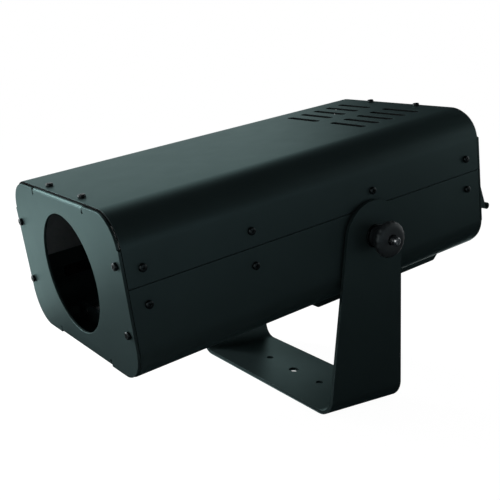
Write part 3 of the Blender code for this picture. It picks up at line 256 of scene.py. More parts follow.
def drawn_on(shape, edges):
    """Extrude edges, and give the new vertices and the new outer edges."""
    drawn = bmesh.ops.extrude_edge_only(shape, edges=edges)["geom"]
    verts = [item for item in drawn if isinstance(item, bmesh.types.BMVert)]
    rim = [item for item in drawn if isinstance(item, bmesh.types.BMEdge)
           and all(vert in verts for vert in item.verts)]
    return verts, rim


def edge_ring(shape, points):
    """A closed line of edges through points in the plane of x and y."""
    ring = [shape.verts.new((x, y, 0)) for x, y in points]
    return ring, [shape.edges.new(pair) for pair in zip(ring, ring[1:] + ring[:1])]


class Fold:
    """The outer line of a bent sheet, walked from one edge in straight runs and round bends.

    A move is (length,) for a run or (radius, degrees) for a bend, which turns left if positive.
    A right angle is cut in the number of steps given, and other bends in proportion.
    """

    def __init__(self, start, heading_deg, moves, steps=12):
        self.parts = []
        self.steps = steps
        self.length = 0.0
        point = Vector(start)
        heading = math.radians(heading_deg)
        for move in moves:
            turn = math.radians(move[1]) if len(move) > 1 else 0.0
            length = move[0] * abs(turn) if turn else move[0]
            part = SimpleNamespace(start=self.length, length=length, point=point, heading=heading,
                                   radius=move[0], turn=turn)
            self.parts.append(part)
            point = self.walk(part, length)
            heading += turn
            self.length += length

    def walk(self, part, distance):
        """The point a distance along a part, or along its line past its ends."""
        if not part.turn:
            return part.point + distance * Vector((math.cos(part.heading), math.sin(part.heading)))
        side = math.copysign(part.radius, part.turn)
        later = part.heading + distance / side
        centre = part.point + side * Vector((-math.sin(part.heading), math.cos(part.heading)))
        return centre + side * Vector((math.sin(later), -math.cos(later)))

    def strips(self, part):
        """How many strips a bend is made of."""
        return max(2, round(self.steps * abs(part.turn) / math.radians(90)))


def folded(fold, regions, across, up, along, margin=0.9):
    """A sheet folded from flat regions, each on one run of the fold, with strips round the bends.

    A region is its run's number and its outlines. Outlines are drawn on the unfolded sheet: x
    runs along the fold, and y along the last axis. One may reach past its bend line, and is
    flat there.
    """
    shape = bmesh.new()
    bends = [part.start for part in fold.parts[1:]]
    for number, outlines in regions:
        flat = flat_shape(*outlines, margin=margin, bends=bends)
        layer = flat.verts.layers.int.new("part")
        for vert in flat.verts:
            vert[layer] = number
        mesh = bpy.data.meshes.new("region")
        flat.to_mesh(mesh)
        flat.free()
        shape.from_mesh(mesh)
        bpy.data.meshes.remove(mesh)
    layer = shape.verts.layers.int["part"]
    for number, part in enumerate(fold.parts):
        if not part.turn:
            continue
        edges = [edge for edge in shape.edges
                 if all(abs(vert.co.x - part.start) < MERGE for vert in edge.verts)]
        strips = fold.strips(part)
        for _ in range(strips):
            verts, edges = drawn_on(shape, edges)
            for vert in verts:
                vert.co.x += part.length / strips
                vert[layer] = number
    bmesh.ops.remove_doubles(shape, verts=shape.verts, dist=1e-3)
    bmesh.ops.recalc_face_normals(shape, faces=shape.faces)
    face_up(shape)
    for vert in shape.verts:
        part = fold.parts[vert[layer]]
        place = fold.walk(part, vert.co.x - part.start)
        vert.co = across * place.x + up * place.y + along * vert.co.y
    return shape


def turned(profile, steps=64):
    """A piece turned about z from (radius, height) pairs."""
    shape = bmesh.new()
    verts = [shape.verts.new((radius, 0, height)) for radius, height in profile]
    pairs = list(zip(verts, verts[1:]))
    if profile[0][0] or profile[-1][0]:
        pairs.append((verts[-1], verts[0]))
    edges = [shape.edges.new(pair) for pair in pairs]
    bmesh.ops.spin(shape, geom=verts + edges, cent=(0, 0, 0), axis=Z_AXIS, angle=math.tau,
                   steps=steps, use_merge=True)
    return tidy(shape)


def raised(shape, edges, levels):
    """Draw open edges on through levels of (scale, height), scaled about the z axis."""
    rim = edges
    last_scale = 1.0
    for scale, height in levels:
        verts, rim = drawn_on(shape, rim)
        factor = scale / last_scale
        last_scale = scale
        for vert in verts:
            vert.co = Vector((vert.co.x * factor, vert.co.y * factor, height))
    return rim


def open_edges(shape, inside=None):
    """The boundary edges, or those whose middle passes a test."""
    found = [edge for edge in shape.edges if edge.is_boundary]
    if inside:
        found = [edge for edge in found if inside((edge.verts[0].co + edge.verts[1].co) / 2)]
    return found


def box(low, high):
    """A box between two opposite corners."""
    shape = bmesh.new()
    low = Vector(low)
    high = Vector(high)
    size = Matrix.Diagonal((*(high - low), 1))
    bmesh.ops.create_cube(shape, size=1, matrix=Matrix.Translation((high + low) / 2) @ size)
    return shape


def piece(name, shape, finish, body="head", place=HEAD, node=None, wall=0.0, edge=0.0,
          segments=2, cut=None):
    """Make an object of a shape drawn in millimetres, and let it ride on its body.

    node is the CAD node whose place it takes, wall the thickness given to an open sheet, inwards
    from its outer face, edge the rounding of its sharp edges, and cut the finish of the sheet's
    cut edges: the top half gives them a near-black painted shade, standing in for the shade inside its vents.
    """
    shape.transform(place @ Matrix.Scale(MM, 4))
    mesh = bpy.data.meshes.new(name)
    shape.to_mesh(mesh)
    shape.free()
    mesh.shade_smooth()
    made = bpy.data.objects.new(name, mesh)
    bpy.context.scene.collection.objects.link(made)
    mesh.materials.append(bpy.data.materials[DRESSED + finish])
    if wall:
        sheet = made.modifiers.new("sheet", "SOLIDIFY")
        sheet.thickness = wall * MM
        sheet.offset = -1
        sheet.use_even_offset = True
        # The rim, the faces of the sheet's cut edges, takes the second finish; on the top half this is a
        # painted shade
        if cut:
            mesh.materials.append(bpy.data.materials[DRESSED + cut])
            sheet.material_offset_rim = 1
    if edge:
        rounding = made.modifiers.new("edges", "BEVEL")
        rounding.width = edge * MM
        rounding.segments = segments
        rounding.limit_method = "ANGLE"
        rounding.angle_limit = SHARP
        rounding.use_clamp_overlap = True
        rounding.harden_normals = True
    else:
        mesh.set_sharp_from_angle(angle=SHARP)
    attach(made, body)
    if node:
        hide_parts(node)


# Settings

def length(label, about, default_mm):
    return FloatProperty(name=label, description=about, default=default_mm * MM, min=0.0,
                         unit="LENGTH", subtype="DISTANCE", precision=4)


def colour(label, about, default):
    return FloatVectorProperty(name=label, description=about, default=default, size=3, min=0.0,
                               max=1.0, subtype="COLOR")


def share(label, about, default):
    return FloatProperty(name=label, description=about, default=default, min=0.0, max=1.0,
                         subtype="FACTOR")


class CasingSizes(bpy.types.PropertyGroup):
    sheet: length("Sheet", "Thickness of the two half casings", 1.5)
    plate: length("Plate", "Thickness of the front and rear plates", 2.0)
    corner: length("Corner", "Outer radius of the casing's long corners", 25.0)
    edge: length("Edge", "Rounding that the coat gives to a cut edge", 0.35)
    vent_length: length("Vent length", "Length of a slot in the top", 41.0)
    vent_width: length("Vent width", "Width of a slot in the top", 5.5)
    vent_pitch: length("Vent pitch", "Distance from one row of slots to the next", 14.7)
    vent_rows: IntProperty(name="Vent rows", description="Rows of slots in the top", default=5, min=1)
    opening: length("Beam opening", "Radius of the opening in the front plate", 44.5)
    flange: length("Flange", "Half the width of the plates' folded flanges", 43.5)
    relief: length("Relief", "Width of the slits beside the flanges", 0.8)


class YokeSizes(bpy.types.PropertyGroup):
    strap: length("Strap", "Thickness of the yoke's strap", 3.0)
    bend: length("Bend", "Outer radius of the yoke's two bends", 16.0)
    head: length("Arm end", "Radius of the arms' round ends", 27.2)
    foot: length("Foot", "Half the width of the strap at its base", 36.0)
    centre_hole: length("Centre hole", "Radius of the hole for the stand bolt", 4.5)
    side_hole: length("Side holes", "Radius of the two smaller holes", 3.3)
    side_hole_place: length("Side hole place", "Distance of the smaller holes from the middle", 35.5)


class FastenerSizes(bpy.types.PropertyGroup):
    head: length("Head", "Radius of a pan head", 2.9)
    height: length("Height", "Height of a pan head", 2.0)
    shank: length("Shank", "Radius of a screw's shank", 1.5)
    recess: length("Recess", "Reach of each arm of the cross recess", 1.6)
    knob: length("Knob", "Radius of the tilt lock's hand knobs", 14.0)
    lobes: IntProperty(name="Lobes", description="Flutes round a hand knob", default=18, min=3)
    flute: length("Flute", "Depth of a flute", 0.4)
    proud: length("Bolt end", "How far the bolt stands out of the knob's face", 6.0)


class Finishes(bpy.types.PropertyGroup):
    powder: colour("Powder coat", "Colour of the coated steel", (0.034, 0.052, 0.053))
    powder_tint: colour("Coat's gloss", "Tint of the coat's reflections", (0.68, 1.0, 0.98))
    powder_roughness: share("Coat's roughness", "Roughness of the coated steel", 0.40)
    powder_flake: share("Coat's flake", "How much the coat's pigment shines like metal", 0.6)
    plastic: colour("Black plastic", "Colour of knobs and fittings", (0.016, 0.018, 0.020))
    zinc: colour("Zinc plate", "Colour of the plain sheet inside", (0.42, 0.43, 0.44))


class Studio(bpy.types.PropertyGroup):
    azimuth: FloatProperty(name="Azimuth", description="The camera's bearing, from straight ahead",
                           default=math.radians(55.08), subtype="ANGLE", unit="ROTATION")
    elevation: FloatProperty(name="Elevation", description="How far the camera looks down",
                             default=math.radians(13.25), subtype="ANGLE", unit="ROTATION")
    roll: FloatProperty(name="Roll", description="The camera's lean about its own line of sight",
                        default=math.radians(0.7), subtype="ANGLE", unit="ROTATION")
    place: FloatVectorProperty(name="Place", description="Where the camera stands", size=3,
                               default=(0.5468, -0.3966, 0.2740), subtype="TRANSLATION",
                               unit="LENGTH")
    focal: FloatProperty(name="Focal length", description="Of the lens, on a 36 mm sensor",
                         default=60.4, unit="CAMERA")
    ambient: FloatProperty(name="Ambient", description="Even light from all round", default=0.2,
                           min=0.0)
    key: FloatProperty(name="Key", description="Power of the large lamp before the nose",
                       default=14.0, min=0.0, unit="POWER")
    glint: FloatProperty(name="Glint", description="Power of the small lamp that edges shine by",
                         default=9.0, min=0.0, unit="POWER")
    overhead: FloatProperty(name="Overhead", description="Power of the lamp above", default=1.1,
                            min=0.0, unit="POWER")


def in_millimetres(group):
    """A settings group's values by name, its lengths in millimetres."""
    values = SimpleNamespace()
    for prop in group.bl_rna.properties:
        if prop.identifier in ("rna_type", "name"):
            continue
        value = getattr(group, prop.identifier)
        setattr(values, prop.identifier, value / MM if getattr(prop, "unit", "") == "LENGTH" else value)
    return values


# Finishes

class Wire:
    """A shader socket that can stand in a sum: each operator adds its Math node."""

    def __init__(self, tree, socket=None):
        self.tree = tree
        self.socket = socket

    def node(self, kind, inputs=None, output=0, **settings):
        """Add any other node: its settings are set first, then its sockets' values or links."""
        made = self.tree.nodes.new("ShaderNode" + kind)
        for key, value in settings.items():
            if key == "stops":
                ramp = made.color_ramp
                while len(ramp.elements) < len(value):
                    ramp.elements.new(1.0)
                for element, (position, tone) in zip(ramp.elements, value):
                    element.position = position
                    element.color = (*tone, 1.0)
            else:
                setattr(made, key, value)
        for key, value in (inputs or {}).items():
            if isinstance(value, Wire):
                self.tree.links.new(value.socket, made.inputs[key])
            else:
                made.inputs[key].default_value = value
        return Wire(self.tree, made.outputs[output])

    def maths(self, operation, first, second=0.0):
        return self.node("Math", {0: first, 1: second}, operation=operation)

    def __add__(self, other):
        return self.maths("ADD", self, other)

    __radd__ = __add__

    def __sub__(self, other):
        return self.maths("SUBTRACT", self, other)

    def __rsub__(self, other):
        return self.maths("SUBTRACT", other, self)

    def __mul__(self, other):
        return self.maths("MULTIPLY", self, other)

    __rmul__ = __mul__


def rgba(tone):
    return (*tone, 1.0)


def open_tree(owner, kind):
    """Empty a material's or the world's node tree but for its output, which comes first."""
    owner.use_nodes = True
    tree = owner.node_tree
    tree.nodes.clear()
    tree.nodes.new("ShaderNodeOutput" + kind)
    return Wire(tree)


def close_tree(shader):
    """Link a shader to its tree's output."""
    tree = shader.tree
    tree.links.new(shader.socket, tree.nodes[0].inputs["Surface"])


def start_finish(name):
    """A new material, and a wire that carries Object coordinates."""
    return open_tree(bpy.data.materials.new(DRESSED + name), "Material").node("TexCoord", output="Object")


def end_finish(wire, inputs):
    """Close a material with its Principled shader."""
    close_tree(wire.node("BsdfPrincipled", inputs))


def noise(place, scale, detail=2.0, rough=0.5):
    return place.node("TexNoise", {"Vector": place, "Scale": scale, "Detail": detail,
                                   "Roughness": rough})


def stretched(place, scales):
    """Coordinates stretched along the axes, for grain that runs one way."""
    return place.node("Mapping", {"Vector": place, "Scale": scales})


def two_tones(pattern, first, second):
    """A colour between two tones, by a pattern from 0 to 1."""
    return pattern.node("Mix", {0: pattern, 6: rgba(first), 7: rgba(second)}, output=2,
                        data_type="RGBA")


def bump(height, strength, distance_mm):
    return height.node("Bump", {"Height": height, "Strength": strength,
                                "Distance": distance_mm * MM})


def darker(tone, factor):
    return tuple(channel * factor for channel in tone)


def powder_coat_finish(values):
    """Satin powder coat: a fine orange peel over a slow, faint unevenness."""
    place = start_finish("powder_coat")
    peel = noise(place, 420.0, 3.0, 0.55)
    grain = noise(place, 2300.0, 1.0)
    cloud = noise(place, 22.0, 2.0)
    height = peel + grain * 0.35
    end_finish(place, {
        "Base Color": two_tones(cloud, darker(values.powder, 0.9), darker(values.powder, 1.1)),
        "Roughness": values.powder_roughness - 0.03 + 0.06 * noise(place, 60.0, 3.0),
        "Specular IOR Level": 0.3,
        "Metallic": values.powder_flake,
        "Specular Tint": rgba(values.powder_tint),
        "Normal": bump(height, 0.18, 0.12),
    })


def zinc_finish(values):
    """Zinc-plated sheet: a rolled grain under small spangles."""
    place = start_finish("inner_steel")
    grain = noise(stretched(place, (1, 14, 14)), 120.0, 4.0)
    spangle = place.node("TexVoronoi", {"Vector": place, "Scale": 260.0}, output="Color")
    patch = spangle.node("SeparateColor", {0: spangle})
    end_finish(place, {
        "Base Color": two_tones(0.5 * patch + 0.5 * grain, darker(values.zinc, 0.85),
                                darker(values.zinc, 1.12)),
        "Roughness": 0.34 + 0.16 * patch,
        "Metallic": 0.9,
        "Normal": bump(grain, 0.15, 0.05),
    })


# The tint of reflections in black fittings
COOL = (0.82, 0.98, 1.0)


def grained(pattern, tones, roughness, relief, extra, mask=None):
    """Close a finish whose roughness and relief follow a pattern, its tones too or a mask.

    roughness is its least and its rise with the pattern, relief the bump's strength and depth.
    """
    end_finish(pattern, {
        "Base Color": two_tones(mask or pattern, *tones),
        "Roughness": roughness[0] + roughness[1] * pattern,
        "Normal": bump(pattern, *relief),
        **extra,
    })


def bright_steel_finish():
    """Plated steel, brushed round."""
    grain = noise(stretched(start_finish("bright_steel"), (30, 4, 4)), 260.0, 4.0)
    grained(grain, ((0.52, 0.53, 0.54), (0.68, 0.68, 0.69)), (0.2, 0.14), (0.12, 0.03),
            {"Metallic": 1.0})


def aluminium_finish():
    """Bare aluminium with its drawn grain."""
    grain = noise(stretched(start_finish("aluminium"), (3, 40, 3)), 150.0, 4.0)
    grained(grain, ((0.66, 0.67, 0.68), (0.8, 0.81, 0.82)), (0.28, 0.16), (0.1, 0.03),
            {"Metallic": 1.0})


def black_screw_finish():
    """Blackened steel, a little rubbed."""
    rub = noise(start_finish("black_screw"), 700.0, 4.0, 0.6)
    worn = rub.node("ValToRGB", {0: rub}, stops=((0.5, (0, 0, 0)), (0.75, (1, 1, 1))))
    grained(rub, ((0.003, 0.0045, 0.005), (0.014, 0.019, 0.02)), (0.17, 0.14), (0.12, 0.03),
            {"Metallic": 0.3, "Specular Tint": rgba(COOL)}, worn)


def fibre_finish():
    """Pressed fibre, flecked."""
    fleck = noise(start_finish("fibre"), 900.0, 4.0, 0.7)
    grained(fleck, ((0.16, 0.045, 0.022), (0.42, 0.15, 0.08)), (0.7, 0.15), (0.3, 0.08), {})


def plastic_finish(name, tone, roughness, grain_scale=1500.0, gloss=0.5):
    """Moulded plastic with a spark-eroded grain."""
    place = start_finish(name)
    cloud = noise(place, 45.0, 2.0)
    grained(noise(place, grain_scale, 2.0), (darker(tone, 0.85), darker(tone, 1.15)),
            (roughness - 0.05, 0.1), (0.2, 0.05),
            {"Specular IOR Level": gloss, "Specular Tint": rgba(COOL)}, cloud)


def glass_finish(name, tint):
    """Clear or coloured glass, with the faintest unevenness in its polish."""
    place = start_finish(name)
    wave = noise(place, 30.0, 1.0)
    end_finish(place, {
        "Base Color": two_tones(wave, darker(tint, 0.98), tint),
        "Roughness": 0.02,
        "IOR": 1.517,
        "Transmission Weight": 1.0,
        "Coat Weight": 0.15 + 0.1 * wave,
    })


def make_finishes(values):
    powder_coat_finish(values)
    zinc_finish(values)
    bright_steel_finish()
    black_screw_finish()
    aluminium_finish()
    fibre_finish()
    plastic_finish("black_plastic", values.plastic, 0.42)
    plastic_finish("switch_plastic", darker(values.plastic, 0.8), 0.24, 3000.0)
    plastic_finish("driver_case", (0.30, 0.31, 0.32), 0.45, 900.0)
    plastic_finish("led_board", (0.82, 0.82, 0.78), 0.35, 2500.0)
    # Painted shade: near-black and scarcely reflecting, for the top half's cut edges, standing in for the
    # shade inside the vents
    plastic_finish("cut_edge", (0.003, 0.004, 0.0045), 0.85, 900.0, 0.05)
    plastic_finish("phosphor", (0.85, 0.62, 0.08), 0.55, 2500.0)
    plastic_finish("white_mark", (0.7, 0.7, 0.68), 0.5, 2500.0)
    glass_finish("lens_glass", (0.96, 0.985, 0.98))
    for name, tint in (("filter_red", (0.75, 0.03, 0.02)), ("filter_amber", (0.95, 0.45, 0.04)),
                       ("filter_green", (0.06, 0.6, 0.14)), ("filter_blue", (0.05, 0.14, 0.8))):
        glass_finish(name, tint)


# The yoke

# The tilt bolt's clearance in the strap and in its knob
LOCK_BORE = 3.4


def make_yoke(sizes):
    """A strap bent into a U: its arms narrow from the foot to their round ends."""
    low, high = span("yoke", STAND)
    arm_top = high.z
    rise = arm_top - sizes.bend
    base = high.x - low.x - 2 * sizes.bend
    fold = Fold((high.x, arm_top), -90, [(rise,), (sizes.bend, -90), (base,), (sizes.bend, -90),
                                         (rise,)], 14)
    drop = PIVOT_Z - sizes.bend
    flare = math.asin(sizes.head / math.hypot(sizes.foot, drop)) - math.atan2(sizes.foot, drop)
    lean = math.degrees(flare)
    middle = fold.length / 2
    head = arc(0, 0, sizes.head, -lean, 180 + lean, 40)
    regions = []
    for number, end in ((0, -1), (4, 1)):
        pivot = middle + end * (middle - (arm_top - PIVOT_Z))
        foot = middle + end * (middle - rise)
        arm = [(foot, -end * sizes.foot)] + [(pivot + end * y, -end * x) for x, y in head]
        regions.append((number, [arm + [(foot, end * sizes.foot)], circle(pivot, 0, LOCK_BORE)]))
    strap = rectangle(middle - base / 2, -sizes.foot, middle + base / 2, sizes.foot)
    holes = [circle(middle, 0, sizes.centre_hole)]
    sides = [middle + place for place in both(sizes.side_hole_place)]
    regions.append((2, [strap] + holes + circles(sides, (0,), sizes.side_hole, 48)))
    shape = folded(fold, regions, X_AXIS, Z_AXIS, Y_AXIS)
    piece("yoke_strap", shape, "powder_coat", "yoke", STAND, node="yoke", wall=sizes.strap,
          edge=0.55, segments=3)


# The casing

# Each side slot's place along the casing, its width, and its reach above and below the beam
IRIS_SLOT = (-73.0, 6.5, 33.2)
WHEEL_SLOT = (-53.5, 4.5, 25.7)
FOCUS_SLOT_WIDTH = 6.4

# The casing's round holes by radius, and the four screws of its top and of its bottom
SCREW_HOLE = 1.8
INSERT_HOLE = 6.5
TOP_SCREW_X = 28.5
TOP_SCREW_Y = (-197.0, 117.0)

# The vents' first row and the gap between their columns, and the intakes' rows and size
VENTS_START = 39.0
VENTS_GAP = 17.0
INTAKES = 4
INTAKES_START = 5.0
INTAKE_PITCH = 22.0
INTAKE = (96.0, 6.0)


def screw_rows():
    """Each row of side screws: its name, its height, and its screws' numbers and places along y."""
    rows = []
    for level in ("upper", "lower"):
        names = {number: "side_screw_%s_%d" % (level, number) for number in range(1, 5)}
        middles = {number: middle_of(name) for number, name in names.items() if name in frame["nodes"]}
        places = {number: middle.y for number, middle in middles.items()}
        rows.append((level, middles[1].z, places))
    return rows


def end_screws():
    """The plates' face screws: how far out they are, and their two heights."""
    upper = middle_of("face_screw_right_upper")
    lower = middle_of("face_screw_right_lower")
    return upper.x, (upper.z, lower.z)


def half_casing(sizes, upper):
    """One half casing unfolded: its fold, and its left and right walls with their holes."""
    flat = 2 * (BODY_HALF - sizes.corner)
    seam = TOP_SEAM if upper else BOTTOM_SEAM
    direction = 1 if upper else -1
    wall = TOP_Z - sizes.corner - seam if upper else seam - BOTTOM_Z - sizes.corner
    bends = [(wall,), (sizes.corner, -90), (flat,), (sizes.corner, -90), (wall,)]
    fold = Fold((-direction * BODY_HALF, seam), direction * 90, bends, 16)
    _, row_height, places = screw_rows()[0 if upper else 1]
    depth = abs(row_height - seam)
    walls = {}
    for number, start, inward in ((0, 0.0, 1), (4, fold.length, -1)):
        bend_line = start + inward * wall
        left = (number == 0) == upper
        edge = [(start, SHELL_FRONT)]
        if left:
            for y, width, reach in (IRIS_SLOT, WHEEL_SLOT):
                end = abs(BEAM_Z + direction * reach - seam)
                edge += notch(start, inward * end, y, width)
        edge += [(start, SHELL_REAR), (bend_line, SHELL_REAR), (bend_line, SHELL_FRONT)]
        holes = circles((start + inward * depth,), places.values(), SCREW_HOLE)
        walls["left" if left else "right"] = (number, [edge] + holes)
    return fold, walls


def broad_side(fold, sizes):
    """The flat top or bottom of a half casing, unfolded, with its four screw holes."""
    middle = fold.length / 2
    half = BODY_HALF - sizes.corner
    edge = rectangle(middle - half, SHELL_FRONT, middle + half, SHELL_REAR)
    return [edge] + circles((middle - TOP_SCREW_X, middle + TOP_SCREW_X), TOP_SCREW_Y, SCREW_HOLE)


def make_top_shell(sizes):
    """The top half: over from seam to seam, with its ten vents and the notched left edge."""
    fold, walls = half_casing(sizes, True)
    top = broad_side(fold, sizes)
    for row in range(sizes.vent_rows):
        for offset in both((VENTS_GAP + sizes.vent_length) / 2):
            top.append(slot_outline(fold.length / 2 + offset, VENTS_START + row * sizes.vent_pitch,
                                    sizes.vent_length, sizes.vent_width))
    shape = folded(fold, [walls["left"], (2, top), walls["right"]], X_AXIS, Z_AXIS, Y_AXIS, 0.6)
    # Its cut edges, the vents' walls among them, take a painted shade: near-black, where the vents are in
    # shade
    piece("casing_top", shape, "powder_coat", node="top_shell", wall=sizes.sheet,
          edge=sizes.edge, cut="cut_edge")


def make_bottom_shell(sizes):
    """The bottom half: under from seam to seam, with its intakes and the focus slot."""
    fold, walls = half_casing(sizes, False)
    bottom = broad_side(fold, sizes)
    for row in range(INTAKES):
        bottom.append(slot_outline(fold.length / 2, INTAKES_START + row * INTAKE_PITCH, *INTAKE))
    walls["right"][1].append(circle(BOTTOM_SEAM, 0, INSERT_HOLE))
    walls["left"][1].append(circle(fold.length - BOTTOM_SEAM, 0, INSERT_HOLE))
    stem = middle_of("focus_knob")
    travel = [value / MM for value in JOINTS["focus_slide"]["range_m"]]
    station = fold.length - (BOTTOM_SEAM - stem.z)
    slot = slot_outline(stem.y + sum(travel) / 2, 0, travel[1] - travel[0] + FOCUS_SLOT_WIDTH,
                        FOCUS_SLOT_WIDTH)
    walls["left"][1].append([(station + across, y) for y, across in slot])
    shape = folded(fold, [walls["right"], (2, bottom), walls["left"]], X_AXIS, Z_AXIS, Y_AXIS, 0.6)
    piece("casing_bottom", shape, "powder_coat", node="bottom_shell", wall=sizes.sheet,
          edge=sizes.edge)


# The end plates' flanges, and how far the plates' corners stand in from the casing's
FLANGE_REACH = 18.0
FLANGE_BEND = 2.6
FLANGE_CHAMFER = 3.0
UPPER_INSET = 1.6
LOWER_INSET = 0.4

# The reliefs' radius and their gap to the bend, on the front plate (1) and the rear one (-1)
RELIEF_RADIUS = {1: 1.1, -1: 0.55}
RELIEF_GAP = {1: 0.6, -1: 0.3}


def plate_fold(low, high, y_sign):
    """An end plate's fold: along one flange, round to the face and back along the other."""
    run = FLANGE_REACH - FLANGE_BEND
    face = high.z - low.z - 2 * FLANGE_BEND
    bends = [(run,), (FLANGE_BEND, 90), (face,), (FLANGE_BEND, 90), (run,)]
    if y_sign > 0:
        return Fold((low.y + FLANGE_REACH, high.z), 180, bends, 8)
    return Fold((high.y - FLANGE_REACH, low.z), 0, bends, 8)


def plate_corner(sizes, x_sign, z_sign, bend_z, y_sign):
    """A quarter of a plate's edge, from its straight side to the bend line, past the relief."""
    inset = UPPER_INSET if z_sign > 0 else LOWER_INSET
    radius = sizes.corner - inset
    centre_x = BODY_HALF - sizes.corner
    centre_z = TOP_Z - sizes.corner if z_sign > 0 else -BOTTOM_Z - sizes.corner
    slit = sizes.flange + sizes.relief
    hole = RELIEF_RADIUS[y_sign]
    open_deg = math.degrees(math.asin(sizes.relief / 2 / hole))
    centre = abs(bend_z) - hole - RELIEF_GAP[y_sign]
    relief = arc(sizes.flange + sizes.relief / 2, centre, hole, 90 - open_deg, open_deg - 270, 14)
    corner = arc(centre_x, centre_z, radius, 5, 85, 16)
    points = [(BODY_HALF, centre_z + 1.2)] + corner + [(slit, centre_z + radius)] + relief
    points.append((sizes.flange, abs(bend_z)))
    return [(x_sign * x, z_sign * z) for x, z in points]


def make_end_plate(name, node, sizes, y_sign, openings):
    """A plate with two flanges folded into the casing, free of its corners at small reliefs."""
    low, high = span(node)
    fold = plate_fold(low, high, y_sign)
    face = fold.parts[2]
    bend_lines = {1: high.z - FLANGE_BEND, -1: low.z + FLANGE_BEND}

    def unfolded(points):
        if y_sign > 0:
            return [(face.start + bend_lines[1] - z, x) for x, z in points]
        return [(face.start + z - bend_lines[-1], x) for x, z in points]

    edge = []
    for x_sign, z_sign in ((1, 1), (-1, 1), (-1, -1), (1, -1)):
        quarter = plate_corner(sizes, x_sign, z_sign, bend_lines[z_sign], y_sign)
        edge += quarter if x_sign * z_sign > 0 else quarter[::-1]
    screw_x, heights = end_screws()
    holes = circles(both(screw_x), heights, SCREW_HOLE)
    regions = [(2, [unfolded(outline) for outline in [edge] + holes + openings])]
    screw_y = TOP_SCREW_Y[0] if y_sign > 0 else TOP_SCREW_Y[1]
    face_y = low.y if y_sign > 0 else high.y
    reach = FLANGE_REACH - abs(screw_y - face_y)
    for number, end, inward in ((0, 0.0, 1), (4, fold.length, -1)):
        line = end + inward * fold.parts[number].length
        half = sizes.flange
        cut = end + inward * FLANGE_CHAMFER
        outline = [(end, half - FLANGE_CHAMFER), (cut, half), (line, half), (line, -half),
                   (cut, -half), (end, FLANGE_CHAMFER - half)]
        bores = circles((end + inward * reach,), both(TOP_SCREW_X), SCREW_HOLE)
        regions.append((number, [outline] + bores))
    margin = 0.6 if y_sign > 0 else 0.3
    shape = folded(fold, regions, Y_AXIS, Z_AXIS, X_AXIS, margin)
    piece(name, shape, "powder_coat", node=node, wall=sizes.plate, edge=0.58 * margin)


def make_end_plates(sizes):
    """The front plate with its beam opening, and the rear plate with its slots and cut-outs."""
    make_end_plate("nose_plate", "front_plate", sizes, 1, [circle(0, BEAM_Z, sizes.opening, 96)])
    fan_z = middle_of("fan_frame").z
    openings = [slot_outline(0, fan_z + row * 10.0, 60.0, 5.0) for row in range(-2, 3)]
    openings.append(rounded_box(*middle_of("mains_inlet").xz, 13.7, 10.0, 1.0))
    openings.append(rounded_box(*middle_of("switch_frame").xz, 9.9, 6.7, 0.8))
    openings.append(circle(*middle_of("fuse_holder").xz, 6.3, 32))
    openings.append(circle(*middle_of("dimmer_control").xz, 3.9, 32))
    make_end_plate("tail_plate", "rear_plate", sizes, -1, openings)


# Hood and baffle

HOOD_SCREWS = (-58.0, 0.0, 58.0)
HOOD_FLANGE = 6.0
COVER_WALL = 1.2


def make_hood():
    """A sloped cover over the fan's slots, with closed cheeks and a rolled lower edge."""
    low, high = span("rear_hood")
    hem = 2.8
    bend_radius = 2.0
    panel = low.y
    hollow = hem - COVER_WALL
    stand_off = COVER_WALL + 0.05
    hem_z = low.z + hem
    knee = high.z - HOOD_FLANGE
    run_y = high.y - hem - panel - stand_off
    run_z = knee - hem_z
    lean = math.atan2(run_y, run_z)

    # The slope runs tangent into the roll, and its lean settles in a few rounds
    for _ in range(8):
        lean = math.atan2(run_y - hollow * math.cos(lean), run_z + hollow * math.sin(lean))
    corner = bend_radius * math.tan(lean / 2)
    slope = (run_z + hollow * math.sin(lean)) / math.cos(lean) - corner
    fold = Fold((panel + stand_off, high.z), -90,
                [(HOOD_FLANGE - corner,), (bend_radius, math.degrees(lean)), (slope,), (hollow, 285)], 14)
    half = high.x
    regions = []
    for number in (0, 2):
        part = fold.parts[number]
        regions.append((number, [rectangle(part.start, -half, part.start + part.length, half)]))
    regions[0][1].extend(circles((HOOD_FLANGE / 2,), HOOD_SCREWS, 1.4, 20))
    shape = folded(fold, regions, Y_AXIS, Z_AXIS, -X_AXIS, 0.5)
    roll_start = hem_z - hollow * math.sin(lean)

    def beside_slope(middle):
        line = panel + stand_off + (knee - middle.z) * math.tan(lean) + 0.3
        return abs(abs(middle.x) - half) < 0.01 and roll_start < middle.z < knee and middle.y < line

    for vert in drawn_on(shape, open_edges(shape, beside_slope))[0]:
        vert.co.y = panel + 0.05
    bmesh.ops.recalc_face_normals(shape, faces=shape.faces)
    face_up(shape, Y_AXIS)
    piece("rear_hood_cover", shape, "powder_coat", node="rear_hood", wall=COVER_WALL, edge=0.3)


